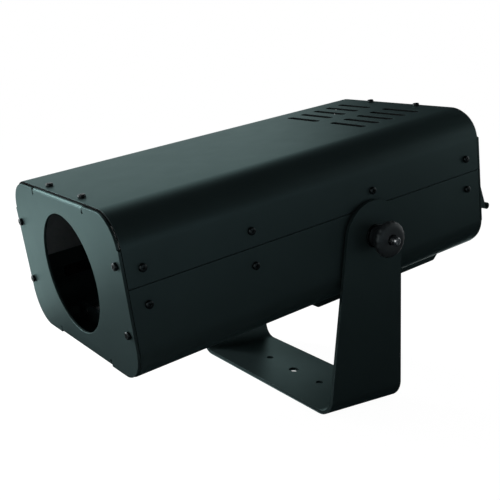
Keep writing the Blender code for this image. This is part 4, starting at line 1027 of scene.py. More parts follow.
def make_baffle():
    """A shallow pan under the intakes: sloped ends, and gaps for air along its sides."""
    low, high = span("bottom_baffle")
    middle = (low + high) / 2
    shape = box(low, high)
    for vert in shape.verts:
        for end, slope in ((low.y, 6.0), (high.y, -9.6)):
            if abs(vert.co.y - end) < 0.1 and vert.co.z < middle.z:
                vert.co.y += slope
    top = [face for face in shape.faces if face.normal.z > 0.9]
    bmesh.ops.delete(shape, geom=top, context="FACES_ONLY")
    gap_top = high.z - 2.3
    cuts = [(gap_top, Z_AXIS)]
    gaps = []
    for number in range(INTAKES):
        y = middle.y + (number - 1.5) * 28.0
        gaps.append((y - 11.0, y + 11.0))
        cuts += [(y - 11.0, Y_AXIS), (y + 11.0, Y_AXIS)]
    folds = [edge for edge in shape.edges if not edge.is_boundary]
    bmesh.ops.bevel(shape, geom=folds, offset=1.6, offset_type="OFFSET", segments=4, profile=0.5,
                    affect="EDGES", material=-1)
    for place, normal in cuts:
        bmesh.ops.bisect_plane(shape, geom=shape.verts[:] + shape.edges[:] + shape.faces[:],
                               dist=1e-5, plane_co=normal * place, plane_no=normal)
    open_faces = []
    for face in shape.faces:
        centre = face.calc_center_median()
        side = abs(abs(centre.x) - high.x) < 0.01
        if side and centre.z > gap_top and any(a < centre.y < b for a, b in gaps):
            open_faces.append(face)
    bmesh.ops.delete(shape, geom=open_faces, context="FACES_ONLY")
    loose = [vert for vert in shape.verts if not vert.link_faces]
    bmesh.ops.delete(shape, geom=loose, context="VERTS")
    piece("baffle_pan", shape, "powder_coat", node="bottom_baffle", wall=COVER_WALL, edge=0.3)


# Fasteners

def cross_outline(reach, half):
    """A cross recess seen from above."""
    arm = ((reach * 0.96, -half * 0.9), (reach, -half * 0.5), (reach, half * 0.5),
           (reach * 0.96, half * 0.9), (half, half))
    points = []
    for quarter in range(4):
        turn = Matrix.Rotation(quarter * math.pi / 2, 2)
        points += [tuple(turn @ Vector(point)) for point in arm]
    return points


def pan_screw(sizes, reach):
    """A pan-head screw about z, its underside at height zero."""
    steps = 32
    radius = sizes.head
    height = sizes.height
    flat = radius * 0.66
    top = height * 0.97
    shape = flat_shape(circle(0, 0, flat, steps), cross_outline(sizes.recess, 0.34), margin=0)
    bmesh.ops.translate(shape, verts=shape.verts, vec=(0, 0, top))
    rim = open_edges(shape, lambda middle: middle.xy.length > flat * 0.95)
    recess = open_edges(shape, lambda middle: middle.xy.length < flat * 0.95)
    floor = raised(shape, recess, [(0.93, top - 0.25), (0.55, top - 1.1)])
    bmesh.ops.contextual_create(shape, geom=floor)
    dome = []
    for step in range(1, 7):
        angle = math.radians(90 * step / 6)
        dome.append(((flat + (radius - flat) * math.sin(angle)) / flat,
                     top - (top - height * 0.42) * (1 - math.cos(angle))))
    shank = sizes.shank / flat
    base = radius / flat
    levels = dome + [(base, 0.12), (base * 0.965, 0.0), (shank, 0.0), (shank, -reach + 0.5),
                     (shank * 0.6, -reach)]
    tip = raised(shape, rim, levels)
    bmesh.ops.contextual_create(shape, geom=tip)
    return tidy(shape)


# How far a head or a flange stands off the coat
PROUD = 0.3


def make_screws(sizes):
    """The screws the frame holds, and those of the top, bottom, left side and rear."""

    def set_screw(name, place, turn, node=None):
        piece(name, pan_screw(sizes, 6.5), "black_screw", place=place @ Matrix.Rotation(turn, 4, "Z"),
              node=node)

    width, heights = end_screws()
    turn = 0
    for level, z in zip(("upper", "lower"), heights):
        for side, word in SIDES:
            node = "face_screw_%s_%s" % (word, level)
            underside = span(node)[0].y + sizes.height
            turn += 37
            set_screw(node + "_pan", at(side * width, underside, z, AGAINST_Y), turn, node)
            set_screw("rear_screw_%s_%s" % (word, level), at(side * width, TAIL_Y + PROUD, z, ALONG_Y),
                      turn * 1.7)
    for level, z, places in screw_rows():
        for number, y in places.items():
            node = "side_screw_%s_%d" % (level, number)
            turn += 23
            set_screw(node + "_pan", at(BODY_HALF + PROUD, y, z, ALONG_X), turn, node)
            set_screw("left_screw_%s_%d" % (level, number), at(-BODY_HALF - PROUD, y, z, AGAINST_X),
                      turn * 1.3)
    for end, y in zip(("front", "rear"), TOP_SCREW_Y):
        for side, word in SIDES:
            x = side * TOP_SCREW_X
            turn += 31
            set_screw("top_screw_%s_%s" % (end, word), at(x, y, TOP_Z + PROUD), turn)
            set_screw("bottom_screw_%s_%s" % (end, word),
                      at(x, y, BOTTOM_Z - PROUD, Matrix.Rotation(math.pi, 4, "X")), turn * 1.9)


def lobed(levels, lobes, steps_per_lobe=10):
    """A knob about z from levels of (radius, flute depth, height), each flute a shallow wave."""
    shape = bmesh.new()
    verts, rim = edge_ring(shape, circle(0, 0, 1.0, lobes * steps_per_lobe))
    for number, (radius, flute, height) in enumerate(levels):
        if number:
            verts, rim = drawn_on(shape, rim)
        for vert in verts:
            angle = math.atan2(vert.co.y, vert.co.x)
            reach = radius - flute * (1 - math.cos(lobes * angle)) / 2
            vert.co = Vector((reach * math.cos(angle), reach * math.sin(angle), height))
    return shape


def reaches(node):
    """How far out a node on the tilt axis begins and ends."""
    low, high = span(node)
    return sorted((abs(low.x), abs(high.x)))


def make_tilt_locks(sizes):
    """Both sides' hand knobs, bolts, washers and inserts, on the tilt axis."""
    radius = sizes.knob
    flute = sizes.flute
    for side, word in SIDES:
        body = "lock_" + word
        place = at(0, 0, 0, ALONG_X if side > 0 else AGAINST_X)
        start = reaches("lock_knob_" + word)[0]
        root, tip = reaches("lock_bolt_" + word)
        face = tip - sizes.proud
        levels = [(LOCK_BORE, 0, start), (7.6, 0, start), (8.0, 0, start + 0.4), (8.2, 0, start + 4.0),
                  (9.2, 0.1, start + 6.5), (11.2, flute * 0.5, face - 8.2), (12.9, flute * 0.8, face - 6.3),
                  (radius - 0.3, flute, face - 4.6), (radius, flute, face - 3.4),
                  (radius - 0.1, flute, face - 2.2), (radius - 0.8, flute * 0.7, face - 1.1),
                  (radius - 2.0, flute * 0.2, face - 0.5), (radius - 4.0, 0, face - 0.1), (8.0, 0, face),
                  (4.4, 0, face), (4.0, 0, face - 0.3), (3.6, 0, face - 1.0), (LOCK_BORE, 0, face - 2.8)]
        knob = tidy(lobed(levels + levels[:1], sizes.lobes))
        piece("hand_knob_" + word, knob, "black_plastic", body, place, node="lock_knob_" + word)
        thread = [(2.9, tip - 0.5), (3.1, tip - 1.3), (3.1, face), (3.0, face - 0.6), (3.0, root + 0.6),
                  (2.4, root)]
        bolt = headed(2.4, circle(0, 0, 1.6, 6), 2.0, tip, thread, 40)
        piece("knob_bolt_" + word, bolt, "bright_steel", body, place, node="lock_bolt_" + word)
        for kind, finish, bore in (("lock_washer_", "black_screw", 3.3), ("friction_washer_", "fibre", 6.5),
                                   ("threaded_insert_", "bright_steel", 3.3)):
            node = kind + word
            outer = span(node)[1].z
            near, far = reaches(node)
            ring = [(outer, far), (outer, near), (bore, near), (bore, far)]
            piece(node + "_ring", turned(ring), finish, place=place, edge=0.15, node=node)


# Inside the casing

class OpticSizes(bpy.types.PropertyGroup):
    lens: length("Lens", "Radius of the objective lens", 42.0)
    lens_centre: length("Lens centre", "Thickness of the objective at its middle", 15.0)
    lens_edge: length("Lens edge", "Thickness of the objective at its edge", 4.0)
    rod: length("Rod", "Radius of the two guide rods", 3.0)
    leaves: IntProperty(name="Iris leaves", description="Leaves of the iris", default=10, min=3)
    leaf: length("Leaf", "Thickness of an iris leaf", 0.15)
    teeth: IntProperty(name="Teeth", description="Teeth round the colour wheel", default=40, min=8)
    fins: IntProperty(name="Fins", description="Fins of the heat sink", default=9, min=2)
    fin: length("Fin", "Thickness of a fin", 2.2)
    blades: IntProperty(name="Blades", description="Blades of the fan", default=7, min=2)


def headed(face_radius, recess, depth, top, levels, steps=48):
    """A turned head with a recess in its face; levels are (radius, height) from the face down."""
    shape = flat_shape(circle(0, 0, face_radius, steps), recess, margin=0)
    bmesh.ops.translate(shape, verts=shape.verts, vec=(0, 0, top))
    rim = open_edges(shape, lambda middle: middle.xy.length > 0.93 * face_radius)
    inner = [edge for edge in open_edges(shape) if edge not in rim]
    floor = raised(shape, inner, [(0.96, top - 0.2), (0.96, top - depth)])
    bmesh.ops.contextual_create(shape, geom=floor)
    end = raised(shape, rim, [(radius / face_radius, height) for radius, height in levels])
    bmesh.ops.contextual_create(shape, geom=end)
    return tidy(shape)


def ring_profile(outer, inner, low, high, chamfer=0.3):
    """A tube's section with its four edges cut."""
    return [(outer, low + chamfer), (outer, high - chamfer), (outer - chamfer, high),
            (inner + chamfer, high), (inner, high - chamfer), (inner, low + chamfer),
            (inner + chamfer, low), (outer - chamfer, low)]


def capped_lobes(levels, lobes):
    """A fluted knob with both ends closed."""
    shape = lobed(levels, lobes, 6)
    bmesh.ops.holes_fill(shape, edges=open_edges(shape), sides=0)
    return tidy(shape)


def joined(*shapes):
    """Several shapes as one."""
    whole = shapes[0]
    for shape in shapes[1:]:
        mesh = bpy.data.meshes.new("part")
        shape.to_mesh(mesh)
        shape.free()
        whole.from_mesh(mesh)
        bpy.data.meshes.remove(mesh)
    return whole


def moved(shape, x=0.0, y=0.0, z=0.0, turn=None):
    shape.transform(Matrix.Translation((x, y, z)) @ (turn or Matrix.Identity(4)))
    return shape


def block(outlines, low, high, margin=0.0):
    """A closed solid drawn up along z from outlines."""
    shape = flat_shape(*outlines, margin=margin)
    drawn = bmesh.ops.extrude_face_region(shape, geom=shape.faces[:])["geom"]
    verts = [item for item in drawn if isinstance(item, bmesh.types.BMVert)]
    bmesh.ops.translate(shape, verts=shape.verts, vec=(0, 0, low))
    bmesh.ops.translate(shape, verts=verts, vec=(0, 0, high - low))
    bmesh.ops.recalc_face_normals(shape, faces=shape.faces)
    return shape


def make_rails():
    """Flat bars behind the seam, tapped for the side screws and bayed round the tilt bolt."""
    bay_radius = 9.0
    for name in ("seam_rail_right", "seam_rail_left_front", "seam_rail_left_rear"):
        low, high = span(name)
        outline = rectangle(low.y, low.z, high.y, high.z)
        if low.y < 0 < high.y:
            bay = math.degrees(math.asin(low.z / bay_radius))
            outline[1:1] = arc(0, 0, bay_radius, 180 - bay, bay, 20)
        holes = [circle(y, z, 1.5, 20) for _, z, places in screw_rows() for y in places.values()
                 if low.y < y < high.y]
        piece(name + "_bar", flat_shape(outline, *holes), "inner_steel", place=at(high.x, 0, 0, SIDEWAYS),
              wall=high.x - low.x, edge=0.4, node=name)


def make_tabs():
    """The casing's ears behind the end plates' screws, each folded in from a side wall."""
    start = 76.0
    reach = 10.0
    foot = 9.0
    half = 6.0
    nip = 2.0
    wall = 1.5
    width, heights = end_screws()
    ear = [(0, nip - half), (nip, -half), (reach, -half), (reach, half), (nip, half), (0, half - nip)]
    bore = circle(width - start, 0, 1.4, 20)
    for end, face, inward in (("front", SHELL_FRONT, 1), ("rear", SHELL_REAR, -1)):
        fold = Fold((start, face), 0, [(reach,), (2.4, 90 * inward), (foot,)], 6)
        sole = rectangle(fold.length - foot, -half, fold.length, half)
        for side, word in SIDES:
            for level, z in zip(("upper", "lower"), heights):
                shape = folded(fold, [(0, [ear, bore]), (2, [sole])], X_AXIS * side, Y_AXIS, Z_AXIS)
                face_up(shape, Y_AXIS * -inward + X_AXIS * side)
                shift = BODY_HALF - wall - max(abs(vert.co.x) for vert in shape.verts)
                piece("screw_tab_%s_%s_%s" % (end, word, level), moved(shape, x=side * shift, z=z),
                      "powder_coat", wall=wall, edge=0.3)


def lens_section(radius, centre, edge):
    """A biconvex lens from its front middle to its rear middle."""
    sag = (centre - edge) / 2
    curve = (radius ** 2 + sag ** 2) / (2 * sag)
    reach = math.degrees(math.asin(radius / curve))
    front = arc(0, centre / 2 - curve, curve, 90, 90 - reach, 14)
    front[0] = (0, centre / 2)
    return front + [(x, -y) for x, y in reversed(front)]


def make_lens_carriage(sizes):
    """The objective in its sliding holder, with its ring, bushes, clamp knob and slot shutter."""
    body = "focus_carriage"
    section = lens_section(sizes.lens, sizes.lens_centre, sizes.lens_edge)
    piece("objective", turned(section, 96), "lens_glass", body, at(*middle_of("objective_lens"), ALONG_Y),
          node="objective_lens")
    low, high = span("lens_ring")
    outer = high.x
    inner = 39.0
    levels = [(inner + 0.6, 0, 0.0), (outer - 0.4, 0.3, 0.0), (outer, 0.5, 0.4), (outer, 0.5, 1.5),
              (outer - 0.5, 0.3, 2.0), (inner + 0.6, 0, 2.0), (inner, 0, 1.4), (inner, 0, 0.6)]
    ring = lobed(levels + levels[:1], 60, 4)
    piece("objective_ring", tidy(ring), "black_screw", body, at(0, high.y, BEAM_Z, AGAINST_Y),
          node="lens_ring")
    low, high = span("lens_holder")
    thick = high.y - low.y
    lip = 0.9
    rod_x, rod_z = middle_of("guide_rod_right").xz
    outline = rounded_box(0, (low.z + high.z) / 2, high.x, (high.z - low.z) / 2, 8.0)
    holes = circles(both(rod_x), (rod_z,), 4.6) + circles(both(42.0), (53.5,), 4.0)
    for name, opening, start, end in (("holder_frame", sizes.lens + 0.3, 0, thick - lip),
                                      ("holder_lip", inner, -lip, 0)):
        shape = block([outline, circle(0, BEAM_Z, opening, 72)] + holes, start, end, 0.8)
        piece(name, shape, "black_plastic", body, at(0, high.y - lip, 0, AGAINST_Y), edge=0.3,
              node="lens_holder")
    bush = ring_profile(4.7, 3.15, -0.4, thick + 0.4)
    for side, word in SIDES:
        piece("rod_bush_" + word, turned(bush, 32), "bright_steel", body,
              at(side * rod_x, high.y, rod_z, AGAINST_Y))
    make_focus_knob()
    stem_y, stem_z = middle_of("focus_knob").yz
    shutter = block([rounded_box(1.8, 0, 30.3, 4.8, 2.0), circle(0, 0, 2.7, 24)], 0, 0.5, 0.4)
    piece("slot_shutter", shutter, "black_screw", body, at(-BODY_HALF + 3.3, stem_y, stem_z, SIDEWAYS),
          edge=0.1)


def make_focus_knob():
    """The knob outside the slot, and the stem that clamps the holder."""
    low, high = span("focus_knob")
    reach = high.x - low.x
    radius = (high.z - low.z) / 2
    start = reach - 12.0
    levels = [(2.5, 0, 0.3), (2.5, 0, start), (5.2, 0, start), (5.2, 0, start + 1.2),
              (radius - 0.6, 0.2, start + 1.2), (radius, 0.5, start + 1.9), (radius, 0.5, reach - 1.7),
              (radius - 0.5, 0.3, reach - 0.6), (radius - 1.5, 0, reach), (radius - 3.0, 0, reach),
              (radius - 3.3, 0, reach - 0.5), (0.4, 0, reach - 0.5)]
    y, z = middle_of("focus_knob").yz
    piece("focus_clamp_knob", capped_lobes(levels, 20), "black_plastic", "focus_lock",
          at(high.x, y, z, AGAINST_X), node="focus_knob")


def make_rods(sizes):
    """The grooved guide rods, and the angle and collars that hold their front ends."""
    radius = sizes.rod
    groove = radius - 0.5
    for side, word in SIDES:
        name = "guide_rod_" + word
        low, high = span(name)
        reach = high.y - low.y
        section = [(0, 0), (radius - 0.6, 0), (radius, 0.6), (radius, 1.4), (groove, 1.4), (groove, 2.2),
                   (radius, 2.2), (radius, reach - 0.6), (radius - 0.6, reach), (0, reach)]
        x, z = middle_of(name).xz
        piece(name + "_bar", turned(section, 32), "bright_steel", place=at(x, low.y, z, ALONG_Y),
              node=name)
    low, high = span("rod_bracket")
    rod_x, rod_z = middle_of("guide_rod_right").xz
    bend = 3.0
    nip = 4.0
    half = high.x
    foot = high.y - low.y - bend
    leg = high.z - low.z - bend
    fold = Fold((high.y, low.z), 180, [(foot,), (bend, -90), (leg,)], 8)
    end = fold.length
    upright = [(end - leg, -half), (end - nip, -half), (end, nip - half), (end, half - nip),
               (end - nip, half), (end - leg, half)]
    bores = circles((end - (high.z - rod_z),), both(rod_x), radius + 0.3)
    sole = [rectangle(0, -half, foot, half)] + circles((7.0,), both(38.0), 1.8, 20)
    shape = folded(fold, [(0, sole), (2, [upright] + bores)], Y_AXIS, Z_AXIS, -X_AXIS)
    piece("rod_angle", shape, "powder_coat", wall=2.0, edge=0.4, node="rod_bracket")
    collar = ring_profile(6.0, radius + 0.3, 2.0, 4.0)
    for side, word in SIDES:
        piece("rod_collar_" + word, turned(collar, 32), "black_screw",
              place=at(side * rod_x, low.y, rod_z, ALONG_Y), node="rod_bracket")


def gate_outline(low, high, radius, bay, bay_low, bay_high):
    """The bulkhead's edge, stepped in at both sides to clear the seam rails."""
    points = []
    for x_sign, z_sign, start in ((1, 1, 0), (-1, 1, 90), (-1, -1, 180), (1, -1, 270)):
        edge_z = high.z if z_sign > 0 else low.z
        corner = arc(x_sign * (high.x - radius), edge_z - z_sign * radius, radius, start, start + 90, 8)
        step = bay_high if z_sign > 0 else bay_low
        shelf = [(x_sign * (high.x - bay), step), (x_sign * high.x, step)]
        points += shelf + corner if x_sign * z_sign > 0 else corner + shelf[::-1]
    return points


def make_gate(sizes):
    """The bulkhead with its aperture, and the colour wheel's pin."""
    low, high = span("gate_plate")
    rail_low, rail_high = span("seam_rail_right")
    edge = gate_outline(low, high, 23.5, 3.5, rail_low.z - 1.0, rail_high.z + 1.0)
    wheel_x = middle_of("wheel_pin").x
    rod_x, rod_z = middle_of("guide_rod_right").xz
    holes = [circle(0, BEAM_Z, 15.0, 48), circle(wheel_x, BEAM_Z, 3.3, 24)]
    holes += circles(both(rod_x), (rod_z,), sizes.rod + 0.3)
    piece("gate_bulkhead", flat_shape(edge, *holes), "inner_steel", place=at(0, low.y, 0, AGAINST_Y),
          wall=high.y - low.y, edge=0.4, node="gate_plate")
    low, high = span("wheel_pin")
    reach = high.y - low.y
    slot = rounded_box(0, 0, 3.6, 0.6, 0.3, 2)
    levels = [(5.5, reach - 0.6), (5.5, reach - 2.4), (3.0, reach - 2.4), (3.0, 0.5), (2.5, 0)]
    piece("wheel_pin_screw", headed(4.9, slot, 1.1, reach, levels), "bright_steel",
          place=at(wheel_x, low.y, BEAM_Z, ALONG_Y), node="wheel_pin")


def cup_wall(radius, levels, window_deg):
    """An upright wall about z, whose last level is open about the -x side."""
    shape = bmesh.new()
    rim = edge_ring(shape, circle(0, 0, radius, 96))[1]
    raised(shape, rim, [(1.0, height) for height in levels[1:]])
    bmesh.ops.recalc_face_normals(shape, faces=shape.faces)
    shape.normal_update()
    if sum(face.normal.dot(face.calc_center_median()) for face in shape.faces) < 0:
        bmesh.ops.reverse_faces(shape, faces=shape.faces)
    window = []
    for face in shape.faces:
        middle = face.calc_center_median()
        if middle.z > levels[-2] and abs(math.degrees(math.atan2(middle.y, -middle.x))) < window_deg:
            window.append(face)
    bmesh.ops.delete(shape, geom=window, context="FACES")
    return shape


def make_iris(sizes):
    """The iris: its cup with a window for the lever, its leaves, and its turning ring."""
    low, high = span("iris_housing")
    outer = high.x
    depth = high.y - low.y
    floor = 1.6
    place = at(0, high.y, BEAM_Z, AGAINST_Y)
    wall = cup_wall(outer, (0.0, floor, depth - 4.0, depth), 24.2)
    piece("iris_cup_wall", wall, "aluminium", place=place, wall=2.5, edge=0.3, node="iris_housing")
    piece("iris_cup_floor", turned(ring_profile(outer - 2.4, 16.0, 0, floor), 96), "aluminium",
          place=place, node="iris_housing")
    leaf = arc(0, 0, 34.0, -30, 62, 24) + arc(-2.0, 4.0, 22.5, 74, -44, 24)
    lean = Matrix.Rotation(math.radians(1.6), 4, "X")
    leaves = []
    for angle in spaced(sizes.leaves):
        turn = Matrix.Rotation(angle, 4, "Z") @ lean
        leaves.append(moved(block([leaf], 0, sizes.leaf), z=3.6, turn=turn))
    piece("iris_leaves", joined(*leaves), "black_screw", place=place)
    make_iris_ring(sizes)


def make_iris_ring(sizes):
    """The ring that swings the leaves, slotted for their pins, and its lever."""
    low, high = span("iris_ring")
    lever_y = middle_of("iris_ring").y
    radius = high.x
    outlines = [circle(0, 0, radius, 96), circle(0, 0, 17.0, 72)]
    for angle in spaced(sizes.leaves, 0.5):
        turn = Matrix.Rotation(angle + 0.6, 2)
        centre = Vector(polar(27.0, angle))
        outlines.append([tuple(centre + turn @ Vector(point)) for point in slot_outline(0, 0, 9.0, 2.4, 6)])
    piece("iris_turning_ring", block(outlines, -1.0, 1.0, 0.6), "black_screw", "iris_lever",
          at(0, lever_y, BEAM_Z, AGAINST_Y), edge=0.25, node="iris_ring")
    tip = -low.x
    grip = 4.0
    stem = 0.95
    section = [(0, radius - 2.5), (stem, radius - 2.5), (stem, tip - 9.0), (grip - 0.8, tip - 9.0),
               (grip, tip - 8.2)]
    section += [(grip - 0.35 * (step % 2), tip - 7.4 + 0.8 * step) for step in range(7)]
    section += [(grip, tip - 1.2), (grip - 1.2, tip), (0, tip)]
    piece("iris_lever_handle", turned(section, 32), "black_screw", "iris_lever",
          at(0, lever_y, BEAM_Z, AGAINST_X), node="iris_ring")


FILTERS = ("red", "amber", "green", "blue")
FILTER_RADIUS = 12.0


def make_wheel(sizes):
    """The colour wheel with its toothed rim, filters and their spring rings."""
    low, high = span("colour_wheel")
    outer = (high.x - low.x) / 2
    root = outer - 0.8
    centre = middle_of("wheel_pin")
    rim = []
    for tooth in range(sizes.teeth):
        for part, radius in ((0.0, root), (0.18, root), (0.34, outer), (0.66, outer), (0.82, root)):
            rim.append(polar(radius, math.tau * (tooth + part) / sizes.teeth))
    count = len(FILTERS) + 1
    holes = [circle(*polar(-centre.x, angle), FILTER_RADIUS + 0.3, 40) for angle in spaced(count)]
    holes.append(circle(0, 0, 3.3, 24))
    holes += [circle(*polar(46.0, angle), 1.4, 16) for angle in spaced(count, 0.5)]
    piece("colour_wheel_disc", flat_shape(rim, *holes, margin=0.2), "aluminium", "filter_wheel",
          at(centre.x, low.y, centre.z, AGAINST_Y), wall=high.y - low.y, edge=0.1,
          node="colour_wheel")
    half = 0.55
    chamfer = 0.2
    glass = [(0, -half), (FILTER_RADIUS - chamfer, -half), (FILTER_RADIUS, chamfer - half),
             (FILTER_RADIUS, half - chamfer), (FILTER_RADIUS - chamfer, half), (0, half)]
    clips = []
    for number, kind in enumerate(FILTERS, 1):
        name = "colour_filter_%d" % number
        middle = middle_of(name)
        piece(name + "_glass", turned(glass, 48), "filter_" + kind, "filter_wheel", at(*middle, ALONG_Y),
              node=name)
        for height in both(0.95):
            wire = circle(FILTER_RADIUS + 0.9, height, 0.3, 8)
            clips.append(moved(turned(wire, 40), *middle, ALONG_Y))
    piece("filter_spring_rings", joined(*clips), "bright_steel", "filter_wheel")


def make_condenser():
    """The condenser, domed on one side, in its tube."""
    low, high = span("condenser_tube")
    outer = high.x
    inner = outer - 3.0
    reach = high.y - low.y
    tube = [(outer - 0.3, 0), (outer, 0.3), (outer, reach), (inner, reach), (inner, 17.0),
            (inner - 0.8, 17.0), (inner - 0.8, 15.6), (inner, 15.6), (inner, 0.8), (inner + 0.8, 0)]
    piece("condenser_barrel", turned(tube, 72), "aluminium", place=at(0, low.y, BEAM_Z, ALONG_Y),
          node="condenser_tube")
    low, high = span("condenser_lens")
    radius = (high.x - low.x) / 2
    rim = 3.0
    bulge = 11.0
    curve = ((0.9 * radius) ** 2 + bulge ** 2) / (2 * bulge)
    reach = math.degrees(math.asin(0.9 * radius / curve))
    dome = arc(0, rim + bulge - curve, curve, 90, 90 - reach, 14)
    dome[0] = (0, rim + bulge)
    dome += [(radius - 0.2, rim), (radius, rim - 0.2), (radius, 0.2), (radius - 0.2, 0), (0, 0)]
    piece("condenser", turned(dome, 72), "lens_glass", place=at(0, high.y, BEAM_Z, AGAINST_Y),
          node="condenser_lens")


def make_light_engine(sizes):
    """The condenser, the emitter on its board, and the heat sink behind it."""
    make_condenser()
    low, high = span("led_board")
    half = high.x
    corners = circles(both(half - 3.6), both(half - 3.6), 1.6, 20)
    board = flat_shape(rounded_box(0, 0, half, half, 3.0), *corners, margin=0.6)
    place = at(0, low.y, BEAM_Z, AGAINST_Y)
    piece("emitter_board", board, "led_board", place=place, wall=high.y - low.y, edge=0.2,
          node="led_board")
    dam = 11.6
    pads = [block([rounded_box(side * 14.2, side * 8.0, 2.2, 3.0, 0.6, 3)], 0, 0.12) for side in (-1, 1)]
    gel = [(0, 0.55), (10.0, 0.5), (dam, 0.3), (dam, 0.0), (0, 0.0)]
    piece("emitter_dam", turned(ring_profile(13.0, dam, 0, 0.7, 0.2), 48), "white_mark", place=place)
    piece("emitter_pads", joined(*pads), "bright_steel", place=place)
    piece("emitter_phosphor", turned(gel, 48), "phosphor", place=place)
    low, high = span("heat_sink")
    half = high.x
    pitch = (2 * half - sizes.fin) / (sizes.fins - 1)
    root = low.y + 6.0
    comb = [(half, low.y), (half, high.y)]
    for number in range(sizes.fins - 1):
        right = half - sizes.fin - number * pitch
        left = right - pitch + sizes.fin
        comb += [(right + 0.3, high.y), (right, root + 1.0), (right - 1.0, root), (left + 1.0, root),
                 (left, root + 1.0), (left - 0.3, high.y)]
    comb += [(-half, high.y), (-half, low.y)]
    piece("finned_sink", block([comb], low.z, high.z, 0.5), "aluminium", edge=0.3, node="heat_sink")


def make_fan(sizes):
    """A square axial fan: two flanges on a round throat, struts with a hub, and the rotor."""
    low, high = span("fan_frame")
    half = high.x
    depth = high.y - low.y
    throat = half - 2.0
    flange = 3.6
    hub = 15.0
    place = at(0, high.y, middle_of("fan_frame").z, AGAINST_Y)
    square = [rounded_box(0, 0, half, half, 4.0), circle(0, 0, throat, 96)]
    square += circles(both(half - 4.3), both(half - 4.3), 2.1)
    for word, start in (("rear", 0.0), ("front", depth - flange)):
        piece("fan_flange_" + word, block(square, start, start + flange, 0.6), "black_plastic",
              place=place, edge=0.3, node="fan_frame")
    tube = [(throat, 3.4), (throat + 1.7, 3.4), (throat + 1.7, depth - 3.4), (throat, depth - 3.4)]
    piece("fan_throat", turned(tube, 96), "black_plastic", place=place, node="fan_frame")
    struts = [turned([(0, 0), (hub - 0.8, 0), (hub, 0.8), (hub, 3.0), (0, 3.0)], 64)]
    for angle_deg in (45, 165, 285):
        bar = box((10, -1.5, 0.3), (half - 1.0, 1.5, 3.3))
        struts.append(moved(bar, turn=Matrix.Rotation(math.radians(-angle_deg), 4, "Z")))
    piece("fan_struts", joined(*struts), "black_plastic", place=place, edge=0.2, node="fan_frame")
    low, high = span("fan_rotor")
    reach = high.y - low.y
    place = at(0, high.y, middle_of("fan_frame").z, AGAINST_Y)
    cap = [(0, reach), (hub - 2.5, reach), (hub - 0.8, reach - 0.7), (hub, reach - 2.4), (hub, 0.4),
           (hub - 0.4, 0), (0, 0)]
    piece("fan_hub", turned(cap, 64), "black_plastic", "rotor", place, node="fan_rotor")
    blades = [fan_blade(angle) for angle in spaced(sizes.blades)]
    piece("fan_blades", joined(*blades), "black_plastic", "rotor", place, wall=1.1, node="fan_rotor")


def fan_blade(start):
    """The outer face of a cambered blade about z, steeper at its root."""
    shape = bmesh.new()
    bmesh.ops.create_grid(shape, x_segments=8, y_segments=8, size=0.5)
    for vert in shape.verts:
        out = vert.co.y + 0.5
        radius = 14.6 + 21.4 * out
        pitch = math.radians(52 - 20 * out)
        chord = vert.co.x * (13.0 + 4.5 * out)
        camber = 1.6 * (1 - 4 * vert.co.x ** 2)
        across = chord * math.cos(pitch) - camber * math.sin(pitch)
        height = chord * math.sin(pitch) + camber * math.cos(pitch)
        vert.co = Vector((*polar(radius, start + across / radius), 8.6 + height))
    face_up(shape)
    return shape


def make_driver():
    """The potted supply: a ribbed case and its end caps."""
    low, high = span("led_driver")
    cap = 2.5
    groove = 1.4
    outline = [(high.x, low.y)]
    for number in range(9):
        y = low.y + 5.0 + number * 6.6
        outline += [(high.x, y), (high.x - groove, y + 0.4), (high.x - groove, y + 3.2), (high.x, y + 3.6)]
    outline += [(high.x, high.y), (low.x, high.y), (low.x, low.y)]
    piece("driver_body", block([outline], low.z + cap, high.z - cap, 0.3), "driver_case", edge=0.15,
          node="led_driver")
    middle = (low + high) / 2
    half = (high - low) / 2
    outline = rounded_box(middle.x, middle.y, half.x, half.y, 2.0)
    for word, start in (("lower", low.z), ("upper", high.z - cap)):
        piece("driver_cap_" + word, block([outline], start, start + cap, 0.6), "driver_case",
              edge=0.4, node="led_driver")


# Fittings on the rear plate

def fitting_well(name, mouth, depth, wall, finish, place, node):
    """A well behind a mouth: it looks outwards, and its wall is added behind it."""
    shape = moved(flat_shape(mouth, margin=0), z=-depth)
    raised(shape, open_edges(shape), [(1.0, 0.0)])
    bmesh.ops.recalc_face_normals(shape, faces=shape.faces)
    face_up(shape)
    piece(name, shape, finish, place=place, wall=wall, edge=0.15, node=node)


def make_inlet():
    """A mains inlet of the common three-pin pattern."""
    low, high = span("mains_inlet")
    centre = middle_of("mains_inlet")
    thick = 2.5
    depth = 15.0
    ear = 20.0
    place = at(centre.x, high.y - thick, centre.z, ALONG_Y)
    mouth = [(-12.0, 8.2), (-12.0, -3.0), (-7.4, -8.2), (7.4, -8.2), (12.0, -3.0), (12.0, 8.2)]
    outline = rounded_box(0, 0, (high.x - low.x) / 2, 11.0, 3.0)
    flange = block([outline, mouth] + circles(both(ear), (0,), 1.7), 0, thick, 0.6)
    piece("inlet_flange", flange, "black_plastic", place=place, edge=0.3, node="mains_inlet")
    fitting_well("inlet_well", mouth, depth, 1.2, "black_plastic",
                 at(centre.x, high.y - 0.4, centre.z, ALONG_Y), "mains_inlet")
    pins = [moved(block([rounded_box(0, 0, 1.0, 2.0, 0.5, 3)], -depth, -1.8), x, y)
            for x, y in ((-7.0, 2.0), (7.0, 2.0), (0.0, -2.0))]
    piece("inlet_pins", joined(*pins), "bright_steel", place=place, edge=0.25)
    levels = [(2.5, 0.5), (2.6, 0.1), (2.5, 0.0), (1.5, 0.0), (1.5, -6.0)]
    for side, word in SIDES:
        piece("inlet_screw_" + word, headed(2.0, cross_outline(1.2, 0.3), 0.7, 0.9, levels, 32),
              "black_screw", place=at(centre.x + side * ear, high.y, centre.z, ALONG_Y))


